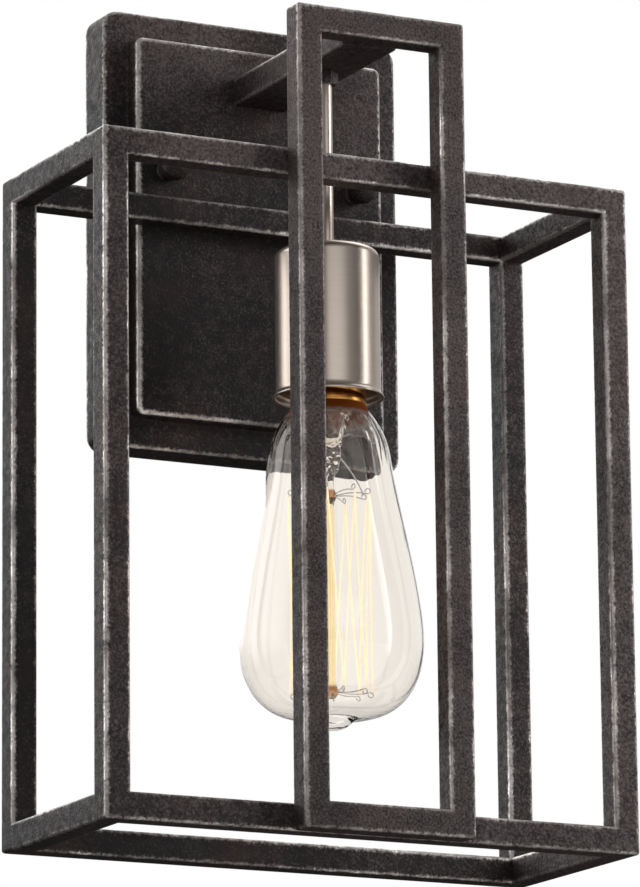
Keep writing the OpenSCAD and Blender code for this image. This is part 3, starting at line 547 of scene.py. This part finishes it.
def cutAway(obj, cutters):
    # Boolean difference of a piece and some closed cutters, applied at once
    for points, faces in cutters:
        cutter = addObject("cutter", points, faces)
        tool = obj.modifiers.new("cut", "BOOLEAN")
        tool.operation, tool.solver, tool.object = "DIFFERENCE", "EXACT", cutter
        bpy.context.view_layer.update()
        graph = bpy.context.evaluated_depsgraph_get()
        result = bpy.data.meshes.new_from_object(obj.evaluated_get(graph), depsgraph=graph)
        obj.modifiers.remove(tool)
        obj.data = result
        bpy.data.objects.remove(cutter)


def grown(outline, by, depth):
    # half width, half height and corner grown by the same, at a depth
    return (*(v + by for v in outline), depth)


def buildBackplate():
    p = plateLook
    base, panel, rim, front, wall = p["base"], p["panel"], p["rim"], p["front"], p["wall"]
    r, q, f = p["rimRound"], p["panelRound"], p["panelFoot"]
    rings = [(*base, 0.0), (*base, 2.5), (*base, rim - 4.0)]
    # round the rim's front corner, cross the flat band, turn up the panel's side and over its corner
    rings += [grown(base, a - r, rim - r + b) for a, b in filletSteps(r, 0, 90)]
    rings += [grown(base, -4.2, rim), grown(panel, f + 1.5, rim)]
    rings += [grown(panel, f + a, rim + f + b) for a, b in filletSteps(f, -90, -180, 4)]
    rings += [(*panel, front - 3.0)]
    rings += [grown(panel, a - q, front - q + b) for a, b in filletSteps(q, 0, 90)]
    pw, ph = panel[:2]
    rings += [(pw - 4.0, ph - 4.0, 0.6, front)]
    outer = len(rings)
    inner = [(pw - 4.0, ph - 4.0, 0.6, front - wall), (pw - wall, ph - wall, 1.0, front - wall),
             (pw - wall, ph - wall, 1.0, rim - wall), grown(base, -wall, rim - wall), grown(base, -wall, 0.0)]
    points, faces = loftRings(rings + inner, p["centreZ"], True)
    count = points.shape[1]
    # the grid joins the last outer ring to the first inner one: that wall is taken out and both are filled
    faces = [face for face in faces if (min(face) // count, max(face) // count) != (outer - 1, outer)]
    faces += [range(k * count, (k + 1) * count) for k in (outer - 1, outer)]

    def edgeDistanceFor(place):
        # the panel's left side, which faces the light, is rubbed widest, partly a painted highlight, and the
        # rim least
        kept = np.interp(place[:, 0], (3 - pw, 9 - pw), p["panelKeptAwayFromLight"])
        lines = [(base, rim, p["rimKept"]), (base, 0.0, p["backKept"]), (panel, front, kept)]
        return np.min([rectDistance(place, *line) for line in lines], axis=0)
    plate = addPiece("backplateSheet", (points, faces), "backplate", edgeDistanceFor=edgeDistanceFor)
    # a slot for the arm and a round hole for each stud
    ends = (front - wall - 1, front + 1)
    cutters = [loftRings([(*p["slot"], depth) for depth in ends], armLook["centreZ"], False)]
    angle = np.linspace(0, 2 * np.pi, 32, endpoint=False)
    for x in (-p["studX"], p["studX"]):
        ring = np.stack([x + p["studHole"] * np.cos(angle), np.zeros(32), p["studHole"] * np.sin(angle)], 1)
        both = np.concatenate([ring + (0, -depth, 0) for depth in ends])
        cutters.append((both, gridFaces(2, 32).tolist() + [range(32), range(32, 64)]))
    cutAway(plate, cutters)
    setAttribute(plate.data, "edgeDistance", edgeDistanceFor(places(plate.data)))
    plate.data.set_sharp_from_angle(angle=math.radians(35))
    keepFlat(plate)


# Arm: flat rectangular tube, open at both ends
armLook = {"halfWidth": 10.5, "halfHeight": 5.1, "corner": 1.2, "inCorner": 0.3, "wall": 1.2,
           "centreZ": 32.7, "near": 19.1, "far": 106.6, "kept": 0.5}


def buildArm():
    p = armLook
    w, h, t = p["halfWidth"], p["halfHeight"], p["wall"]
    rings = [(w, h, p["corner"], p[end]) for end in ("near", "far")]
    rings += [(w - t, h - t, p["inCorner"], p[end]) for end in ("far", "near")]

    def edgeDistanceFor(place):
        # its top left corner, which faces the light, is rubbed most: partly a painted highlight
        x = np.abs(place[:, 0]) - w
        z = np.abs(place[:, 2] - p["centreZ"]) - h
        return np.hypot(x, z) + np.where((place[:, 0] < 0) & (place[:, 2] > p["centreZ"]), 0, p["kept"])
    addPiece("armTube", loftRings(rings, p["centreZ"], True), "arm", edgeDistanceFor=edgeDistanceFor, flat=True)


buildBackplate()
buildArm()
print("backplate and arm built")


def revolve(profile, columns, centre=(0.0, lampY), axis="Z", wrap=False, ripple=None):
    # profile rows of (radius, place along the axis) turned about a line through centre;
    # ripple(radius, along, angle) may change the radius round the turn
    profile = np.asarray(profile, float)
    angle = np.linspace(0, 2 * np.pi, columns, endpoint=False)
    radius, along = [np.repeat(column[:, None], columns, 1) for column in profile.T]
    if ripple:
        radius = ripple(radius, along, angle[None])
    points = [centre[0] + radius * np.cos(angle), centre[1] + radius * np.sin(angle)]
    points.insert(2 if axis == "Z" else 1, along)
    return np.stack(points, -1), gridFaces(len(profile), columns, wrap)


def cubic(a, b, c, d, steps):
    # points of a cubic curve with end points a and d and handles b and c, without its last point
    t = np.linspace(0, 1, steps, endpoint=False)[:, None]
    a, b, c, d = (np.array(v, float) for v in (a, b, c, d))
    return (1 - t) ** 3 * a + 3 * (1 - t) ** 2 * t * b + 3 * (1 - t) * t ** 2 * c + t ** 3 * d


# Ball nuts: a turned ball on a collar, with a small step between them
ballLook = {"x": 37.5, "panel": 22.3, "collar": 4.0, "ball": 5.0, "out": 29.3, "bore": 2.48,
            "boreDepth": 6.08, "kept": 0.2}


def buildBallNuts():
    p = ballLook
    arc = np.linspace(math.radians(128), 0, 26)   # from the collar round to the ball's front
    ball = [(p["ball"] * math.sin(a), -(p["out"] + p["ball"] * math.cos(a))) for a in arc]
    face, c, b = -p["panel"], p["collar"], p["bore"]
    collar = [(c - 0.3, face), (c, face - 0.3), (c, face - 2.1), (c - 0.3, face - 2.5)]
    bore = [(0.0, face - p["boreDepth"]), (b, face - p["boreDepth"]), (b, face)]
    profile = bore + collar + ball
    for side, x in (("left", -p["x"]), ("right", p["x"])):
        def edgeDistanceFor(place):
            ring = np.hypot(place[:, 0] - x, place[:, 2])
            return np.hypot(ring - c, place[:, 1] - face + 0.2) + p["kept"]
        shape, node = revolve(profile, 40, (x, 0.0), "Y"), f"ball_nut_{side}"
        addPiece(f"ballNut_{side}", shape, node, node, edgeDistanceFor=edgeDistanceFor)


# Stem, jam nut and cup
stemLook = {"radius": 2.4, "thread": 2.2, "bore": 1.7, "edge": 0.15, "low": -37.3, "high": 27.6,
            "threadLow": -43.2, "threadHigh": 32.8}
# the nut keeps its patina on every corner (kept), so it stays as dark as the shade under the arm: painted
# shade
jamNutLook = {"acrossFlats": 8.0, "hole": 2.48, "low": 23.0, "high": 27.6, "chamfer": 0.7, "kept": 1.8}
cupLook = {"radius": 18.3, "wall": 0.8, "top": -37.3, "mouth": -90.3, "edge": 3.0, "lip": 19.4, "flare": 3.0,
           "hole": 2.28}


def buildStem():
    p = stemLook
    r, t, b, e = p["radius"], p["thread"], p["bore"], p["edge"]
    low, high, threadLow, threadHigh = p["low"], p["high"], p["threadLow"], p["threadHigh"]
    profile = [(b, threadLow), (t - e, threadLow), (t, threadLow + e), (t, low), (r - e, low), (r, low + e),
               (r, high - e), (r - e, high), (t, high), (t, threadHigh), (b, threadHigh)]
    addPiece("stemTube", revolve(profile, 40, wrap=True), "stem")


def buildJamNut():
    p = jamNutLook
    flat, c, hole, low, high = p["acrossFlats"] / 2, p["chamfer"], p["hole"], p["low"], p["high"]
    point = flat / math.cos(math.pi / 6)
    profile = [(hole, low), (flat - 0.1, low), (point, low + c), (point, high - c), (flat - 0.1, high),
               (hole, high)]

    def hexagon(radius, along, angle):
        # a hexagon's radius at each angle, held under the chamfer cone's radius of that level
        turn = (angle + math.pi / 6) % (math.pi / 3) - math.pi / 6
        return np.where(radius > hole + 0.01, np.minimum(radius, flat / np.cos(turn)), radius)

    def edgeDistanceFor(place):
        turn = (np.arctan2(place[:, 1] - lampY, place[:, 0]) + math.pi / 6) % (math.pi / 3)
        corner = np.minimum(turn, math.pi / 3 - turn) * point
        ends = np.minimum(place[:, 2] - low, high - place[:, 2])
        return np.minimum(corner, ends) + p["kept"]
    shape = revolve(profile, 72, wrap=True, ripple=hexagon)
    addPiece("jamNut", shape, "stem_jam_nut", sharp=25, edgeDistanceFor=edgeDistanceFor)


def buildCup():
    p = cupLook
    r, t, e, top, mouth = p["radius"], p["wall"], p["edge"], p["top"], p["mouth"]
    lip, flare = p["lip"], p["flare"]
    turn = np.radians(np.linspace(90, 0, 13))
    outside = [(p["hole"], top)] + [(r - e + e * math.cos(a), top - e + e * math.sin(a)) for a in turn]
    outside += [(r, mouth + 12.0), (r, mouth + flare + 1.2)]
    outside += list(cubic((r, mouth + flare), (r, mouth + 1.6), (lip - 0.5, mouth + 1.4),
                          (lip, mouth + 0.6), 10))
    # the lip is rolled: half a turn of the sheet's own thickness
    roll = np.radians(np.linspace(20, -200, 12))
    outside += [(lip - t / 2 + t / 2 * math.cos(a), mouth + t / 2 + t / 2 * math.sin(a)) for a in roll]
    inside = list(cubic((lip - t - 0.1, mouth + 1.0), (lip - t - 0.4, mouth + 1.6), (r - t, mouth + 2.0),
                        (r - t, mouth + flare + 0.4), 8))
    inside += [(r - t, mouth + 12.0)]
    inside += [(r - e + (e - t) * math.cos(a), top - e + (e - t) * math.sin(a)) for a in turn[::-1]]
    inside += [(p["hole"], top - t)]
    addPiece("cupShell", revolve(outside + inside, 128, wrap=True), "cup", sharp=50)


buildBallNuts()
buildStem()
buildJamNut()
buildCup()
print("stem, nuts and cup built")

# Bulb: long teardrop glass, its screw base, the glass mount and the filament cage.
# The glass is given by the radius and height of places on its outline, and the curves between them by
# their two places, the handle beside each and a number of steps.
bulbLook = {"neck": (12.5, -91.15), "rim": (12.5, -93.15), "shoulder": (20.9, -108.65),
            "belly": (32.1, -176.15), "bowl": (16.05, -201.95), "nub": (7.2, -203.25),
            "tip": (0, -207.15), "glass": 0.8, "inside": [(5.5, -201.35), (2.5, -201.75), (0, -201.95)],
            "cementFrom": -99.5, "cementOver": 5.0}
glassCurves = [("rim", "shoulder", (2, -2.5), (-1.6, 7.5), 24),
               ("shoulder", "belly", (2.7, -20), (0, 17), 40),
               ("belly", "bowl", (0, -14.4), (9.45, 2), 30), ("bowl", "nub", (-4, -0.6), (1.2, 0.2), 10),
               ("nub", "tip", (-0.6, -2.9), (3.6, 0), 14)]
baseLook = {"radius": 13.15, "start": 3.0, "pitch": 3.63, "turns": 4, "depth": 0.75, "wall": 0.3,
            "taper": 3.6, "top": 10.0}
mountLook = {"low": -193.85, "high": -124.85, "pinch": -111.15, "flare": -92.15}


def smoothLine(points, passes):
    # evens out kinks: in each pass the inner points move halfway to the middle of their neighbours
    points = points.copy()
    for _ in range(passes):
        points[1:-1] += 0.5 * ((points[:-2] + points[2:]) / 2 - points[1:-1])
    return points


def evenLine(points, spacing):
    # the same line with points at even distances along it
    length = np.concatenate([[0], np.cumsum(np.linalg.norm(np.diff(points, axis=0), axis=1))])
    marks = np.linspace(0, length[-1], int(length[-1] / spacing) + 1)
    return np.stack([np.interp(marks, length, points[:, k]) for k in (0, 1)], 1)


def buildBulbGlass():
    p = bulbLook
    outer = [[p["neck"]]]
    for near, far, leaving, arriving, steps in glassCurves:
        a, d = np.array(p[near]), np.array(p[far])
        outer.append(cubic(a, a + leaving, d + arriving, d, steps))
    outer = smoothLine(evenLine(np.concatenate(outer + [[p["tip"]]]), 0.9), 8)
    outer[-1] = p["tip"]
    step = np.gradient(outer, axis=0)
    step /= np.linalg.norm(step, axis=1)[:, None]
    inner = outer + p["glass"] * np.stack([step[:, 1], -step[:, 0]], 1)
    nubRadius, nub = p["nub"]
    inner = inner[outer[:, 0] > nubRadius + 1]
    profile = np.concatenate([outer[::-1], inner, p["inside"]])

    def twist(radius, along, angle):
        # the sealed tip was twisted off: shallow turning folds below the bowl
        fold = np.clip((nub + 0.6 - along) / 3.0, 0, 1) * (radius < nubRadius + 1)
        return radius * (1 + 0.045 * fold * np.sin(5 * angle + 1.4 * (along - p["tip"][1])))
    mesh = addPiece("bulbGlass", revolve(profile, 128, ripple=twist), "bulb_glass", "bulb", sharp=60).data
    setAttribute(mesh, "cement", np.clip((places(mesh)[:, 2] - p["cementFrom"]) / p["cementOver"], 0, 1))


def buildBulbBase():
    p = baseLook
    rim, end = bulbLook["rim"][1], p["start"] + p["turns"] * p["pitch"]
    heights = np.concatenate([[0, 0.3, 1.2, 2.2], np.arange(p["start"], end, 0.24), [end]])
    cone = np.linspace(0.15, 1, 8)
    body = np.stack([np.full(len(heights), p["radius"]), heights], 1)
    body[0, 0] -= 0.25
    body[-1, 0] -= p["depth"] + p["wall"]
    foot = body[-1, 0]
    taper = np.stack([foot - (foot - p["top"]) * cone ** 1.6, end + p["taper"] * cone], 1)
    outer = np.concatenate([body, taper])
    inner = outer[::-1] - (p["wall"], 0)
    profile = np.concatenate([outer, inner]) + (0, rim)

    def thread(radius, along, angle):
        # a rolled thread: a cosine wave that climbs one pitch in each turn, fading in and out
        height = along - rim
        fade = np.clip((height - 1.6) / 1.6, 0, 1) * np.clip((end + 0.6 - height) / 1.6, 0, 1)
        wave = 0.5 * (1 - np.cos(2 * np.pi * (height - p["start"]) / p["pitch"] + math.pi + angle))
        return radius - p["depth"] * fade * wave
    shape = revolve(profile, 96, wrap=True, ripple=thread)
    mesh = addPiece("bulbBase", shape, "bulb_base", "bulb", sharp=50).data
    # cement lines the inside: those points lie just within the outside's radius at their height
    x, y, z = places(mesh).T
    outside = thread(np.interp(z - rim, outer[:, 1], outer[:, 0]), z, np.arctan2(y - lampY, x))
    setAttribute(mesh, "cement", np.hypot(x, y - lampY) < outside - p["wall"] / 2)


def buildGlassMount():
    low, high, pinch, flare = mountLook.values()
    # outside from the rod's low end up to the flare, then back down inside it
    outer = [(0, low - 2.6), (1.2, low - 2.4), (1.6, low - 1.9), (2.4, low - 0.9), (2.4, low + 0.9),
             (1.6, low + 2.2), (1.5, low + 4), (1.5, high - 4), (1.6, high - 2.2), (2.4, high - 0.9),
             (2.4, high + 0.9), (1.6, high + 2.2), (1.5, pinch - 8), (2.4, pinch - 6), (3.6, pinch - 4),
             (4.2, pinch), (4.6, pinch + 6), (6.4, flare - 5), (9.0, flare - 1.6), (11.6, flare)]
    outer = smoothLine(evenLine(np.array(outer), 0.4), 4)
    back = np.array([(10.8, flare), (8.4, flare - 2.4), (5.6, flare - 5), (3.8, pinch + 6),
                     (2.0, pinch + 4.4), (0, pinch + 4)])
    profile = np.concatenate([outer, smoothLine(evenLine(back, 0.6), 3)])
    profile[0, 0] = profile[-1, 0] = 0

    def squeeze(radius, along, angle):
        # the pinch was pressed flat between two jaws while soft, which left it full of small folds
        press = np.exp(-((along - pinch + 1.0) / 6.0) ** 2)
        folds = np.sin(2.1 * along + 3 * angle) + np.sin(1.3 * along - 5 * angle) + np.sin(7 * angle)
        return radius * (1 - 0.25 * press * np.abs(np.sin(angle)) + 0.05 * press * folds)
    mesh = addPiece("glassMount", revolve(profile, 72, ripple=squeeze), "glass_mount", "bulb", sharp=60).data
    z = places(mesh)[:, 2]
    setAttribute(mesh, "amber", np.clip((high - 1 - z) / 4, 0, 1))
    setAttribute(mesh, "button", np.clip(2.4 - np.minimum(np.abs(z - low), np.abs(z - high)), 0, 1))


def sweepWire(path, side, radius, columns=8):
    # a round wire along a path that lies square to the direction side, with domed ends
    path, side = np.asarray(path, float), np.asarray(side, float) / np.linalg.norm(side)
    run = np.gradient(path, axis=0)
    run /= np.linalg.norm(run, axis=1)[:, None]
    up = np.cross(run, side)
    up /= np.linalg.norm(up, axis=1)[:, None]
    angle = np.linspace(0, 2 * np.pi, columns, endpoint=False)
    ring = np.cos(angle)[None, :, None] * side + np.sin(angle)[None, :, None] * up[:, None]
    walls = path[:, None] + radius * ring
    first = path[0] - run[0] * radius * 0.6 + 0 * walls[:1]
    last = path[-1] + run[-1] * radius * 0.6 + 0 * walls[:1]
    points = np.concatenate([first, walls, last])
    return points.reshape(-1, 3), gridFaces(len(points), columns)


def joinShapes(shapes):
    # several shapes as one list of points and faces
    offsets = np.cumsum([0] + [len(p) for p, f in shapes[:-1]])
    faces = [f + offset for (p, f), offset in zip(shapes, offsets)]
    return np.concatenate([p for p, f in shapes]), np.concatenate(faces)


# Filament cage: nine hooks above and nine below, and one wire strung up and down between them.
# The two lead-in wires run from the pinch, given as places to the side and up.
filamentLook = {"ring": 14.4, "low": -193.85, "high": -124.85, "hooks": 9, "wire": 0.26, "hookWire": 0.2,
                "bow": 0.9, "button": 2.3, "hookBow": 0.7, "curl": 0.9, "curlTurn": 1.55 * np.pi}
leadLook = {"near": (4.4, -111.15), "far": (13.2, -122.85), "wire": 0.28, "bow": 1.1}


def ringPoint(turn, radius, z):
    p = filamentLook
    angle = 2 * np.pi * turn / p["hooks"]
    return np.array([radius * math.cos(angle), lampY + radius * math.sin(angle), z])


def buildFilament():
    p = filamentLook
    strands, hooks = [], []
    t = np.linspace(0, 1, 25)[:, None]
    for i in range(2 * p["hooks"] - 1):
        turn = i / 2
        a = ringPoint(turn, p["ring"], p["high"] if i % 2 == 0 else p["low"])
        b = ringPoint(turn + 0.5, p["ring"], p["low"] if i % 2 == 0 else p["high"])
        outward = ringPoint(turn + 0.25, 1.0, 0) - np.array([0, lampY, 0])
        # a wound wire never hangs quite straight: each strand bows in by its own amount
        bow = p["bow"] * (0.6 + 0.4 * math.sin(2.3 * i))
        path = a + (b - a) * t - outward * bow * np.sin(np.pi * t) ** 1.2
        strands.append(sweepWire(path, np.cross(b - a, outward), p["wire"]))
    curl, angle = p["curl"], p["curlTurn"] * np.linspace(0, 1, 17)[:, None]
    t = np.linspace(0, 1, 7)[:-1, None]
    for i in range(p["hooks"]):
        for level, turn, up in (("high", i, 1), ("low", i + 0.5, -1)):
            start, end = [ringPoint(turn, radius, p[level]) for radius in (p["button"], p["ring"] - curl)]
            outward = (end - start) / np.linalg.norm(end - start)
            rise = np.array([0, 0, up])
            # radial wire, then an open curl round the filament
            straight = start + (end - start) * t + rise * p["hookBow"] * np.sin(np.pi * t)
            bend = end + rise * curl + curl * (np.sin(angle) * outward - np.cos(angle) * rise)
            path = np.concatenate([straight, bend])
            hooks.append(sweepWire(path, np.cross(outward, rise), p["hookWire"], 6))
    addPiece("filamentWire", joinShapes(strands), "filament", "bulb", sharp=80)
    addPiece("filamentHooks", joinShapes(hooks), "filament_hooks", "bulb", sharp=80)


def buildLeadIns():
    p, wires = leadLook, []
    t = np.linspace(0, 1, 13)[:, None]
    for side in (1, -1):
        near, far = [np.array([side * x, lampY, z]) for x, z in (p["near"], p["far"])]
        path = near + (far - near) * t + np.sin(np.pi * t) * (0, 0, p["bow"])
        wires.append(sweepWire(path, (0, 1, 0), p["wire"]))
    addPiece("leadInWires", joinShapes(wires), "lead_in_wires", "bulb", sharp=80)


buildBulbGlass()
buildBulbBase()
buildGlassMount()
buildFilament()
buildLeadIns()
print("bulb built")

# Studio: pale floor far below, soft boxes round the light, white behind it and dark below
studio = {"floorZ": -1900.0, "floorHalf": 30000.0, "floor": "#eeece9", "floorUnseen": "#2e2d2c",
          "floorGlow": 0.72, "mirroredBelow": (1300.0, 700.0), "mirroredFront": (300.0, -1500.0),
          "ambient": 0.2, "frontGloss": 0.22, "backGloss": 0.8, "lowGloss": 0.05}
# angle from the camera round to the right, rise, distance, width, height and radiance
softBoxes = {
    "keyLeft": (-92, 14, 1300, 1900, 1500, 1.4),
    "stripRight": (82, 12, 1300, 640, 1500, 4.8),
    "frontBand": (12, 13, 1300, 1700, 480, 1.05),
    "highBack": (145, 55, 1300, 900, 800, 1.6),
    "backFill": (-160, 30, 1600, 2000, 1600, 1.6),
}
boxAim = {"at": (0.0, -60.0, -100.0), "toCamera": (-0.459, -0.888, 0.0), "toRight": (0.890, -0.455, 0.0),
          "fade": 0.19}
cameraPlace = {"location": (-924.89, -1863.94, -564.45), "right": (0.8902518, -0.4553494, -0.0104220),
               "up": (-0.0919370, -0.2020624, 0.9750479), "forward": (0.4460933, 0.8670800, 0.2217498),
               "lens": 241.99, "sensor": 36.0}


def buildFloor():
    p = studio
    half, z = p["floorHalf"] * mm, p["floorZ"] * mm
    mesh = bpy.data.meshes.new("floor")
    corners = [(-half, -half, z), (half, -half, z), (half, half, z), (-half, half, z)]
    mesh.from_pydata(corners, [], [(0, 1, 2, 3)])
    material, shader, add = newMaterial("matt studio floor")
    # pale where it is seen or mirrored straight below or in front; it throws little light up, so that
    # undersides stay dark
    path = add("LightPath").node.outputs
    seen = add("Math", path["Is Camera Ray"], path["Is Transmission Ray"], operation="MAXIMUM")
    place = add("TexCoord", out="Object")
    away = add("VectorMath", place, (0, lampY * mm, z), operation="DISTANCE")
    below = add("MapRange", away, *[v * mm for v in p["mirroredBelow"]], **smooth)
    depth = add("SeparateXYZ", place, out="Y")
    front = add("MapRange", depth, *[v * mm for v in p["mirroredFront"]], **smooth)
    mirrored = add("Math", below, front, operation="MAXIMUM")
    seen = add("Math", path["Is Glossy Ray"], mirrored, seen, **multiplyAdd, use_clamp=True)
    colour = add("Mix", seen, p["floorUnseen"], p["floor"], **rgba)
    # where it is seen it also glows a little, as a lit backdrop does, and keeps the object's shadow
    glow = add("Math", seen, p["floorGlow"], operation="MULTIPLY")
    fillInputs(shader, {"Base Color": colour, "Roughness": 0.9, "Emission Color": p["floor"],
                        "Emission Strength": glow})
    # from underneath it is see-through, so that a view from below shows the object
    under = add("NewGeometry", out="Backfacing")
    mixed = add("MixShader", under, shader.outputs["BSDF"], add("BsdfTransparent"))
    fillInputs(material.node_tree.nodes["Material Output"], {"Surface": mixed})
    mesh.materials.append(material)
    floor = bpy.data.objects.new("floor", mesh)
    linkObject(floor)


def buildSoftBoxes():
    aim, toCamera, toRight = (np.array(boxAim[k]) for k in ("at", "toCamera", "toRight"))
    for name, (turn, rise, distance, width, height, radiance) in softBoxes.items():
        a, e = math.radians(turn), math.radians(rise)
        away = math.cos(e) * (math.cos(a) * toCamera + math.sin(a) * toRight) + np.array([0, 0, math.sin(e)])
        light = bpy.data.lights.new(name, "AREA")
        light.shape, light.size, light.size_y = "RECTANGLE", width * mm, height * mm
        light.energy = radiance * math.pi * width * height * mm * mm
        # the cloth fades towards its frame: u (1 - u) along each side, smoothed
        light.use_nodes = True
        add = partial(addNode, light.node_tree)
        across = add("NewGeometry", out="Parametric")
        rest = add("VectorMath", (1, 1, 1), across, operation="SUBTRACT")
        hump = add("SeparateXYZ", add("VectorMath", across, rest, operation="MULTIPLY")).node.outputs
        fades = [add("MapRange", hump[k], 0, boxAim["fade"], **smooth) for k in (0, 1)]
        fade = add("Math", *fades, operation="MULTIPLY")
        fillInputs(light.node_tree.nodes["Emission"], {"Strength": fade})
        lamp = bpy.data.objects.new(name, light)
        lamp.location = (aim + away * distance) * mm
        lamp.rotation_mode = "QUATERNION"
        lamp.rotation_quaternion = Vector(away).to_track_quat("Z", "Y")
        lamp.visible_camera = False
        lamp.visible_transmission = False   # the glass shows the white behind it instead
        linkObject(lamp)


def buildWorld():
    world = bpy.data.worlds.new("studio")
    bpy.context.scene.world = world
    world.use_nodes = True
    add = partial(addNode, world.node_tree)
    direction = add("SeparateXYZ", add("TexCoord", out="Generated")).node.outputs
    # what metal and glass mirror: bright behind the object, dim in front of it and dark below it
    gloss = add("MapRange", direction["Y"], -0.1, 0.6, studio["frontGloss"], studio["backGloss"], **smooth)
    above = add("MapRange", direction["Z"], -0.05, 0.2, studio["lowGloss"], 1, **smooth)
    gloss = add("Math", gloss, above, operation="MULTIPLY")
    path = add("LightPath").node.outputs
    level = add("Mix", path["Is Glossy Ray"], studio["ambient"], gloss)
    shown = add("Math", path["Is Camera Ray"], path["Is Transmission Ray"], operation="MAXIMUM")
    level = add("Mix", shown, level, 1)
    fillInputs(world.node_tree.nodes["Background"], {"Color": "#ffffff", "Strength": level})


def buildCamera():
    p = cameraPlace
    data = bpy.data.cameras.new("camera")
    data.lens, data.sensor_width, data.sensor_fit = p["lens"], p["sensor"], "AUTO"
    data.clip_start, data.clip_end = 0.05, 60
    camera = bpy.data.objects.new("camera", data)
    linkObject(camera)
    turn = Matrix([p["right"], p["up"], [-v for v in p["forward"]]]).transposed()
    camera.matrix_world = Matrix.Translation(Vector(p["location"]) * mm) @ turn.to_4x4()
    bpy.context.scene.camera = camera


buildFloor()
buildSoftBoxes()
buildWorld()
buildCamera()
bpy.context.scene.view_settings.view_transform = "Standard"
print("studio built")
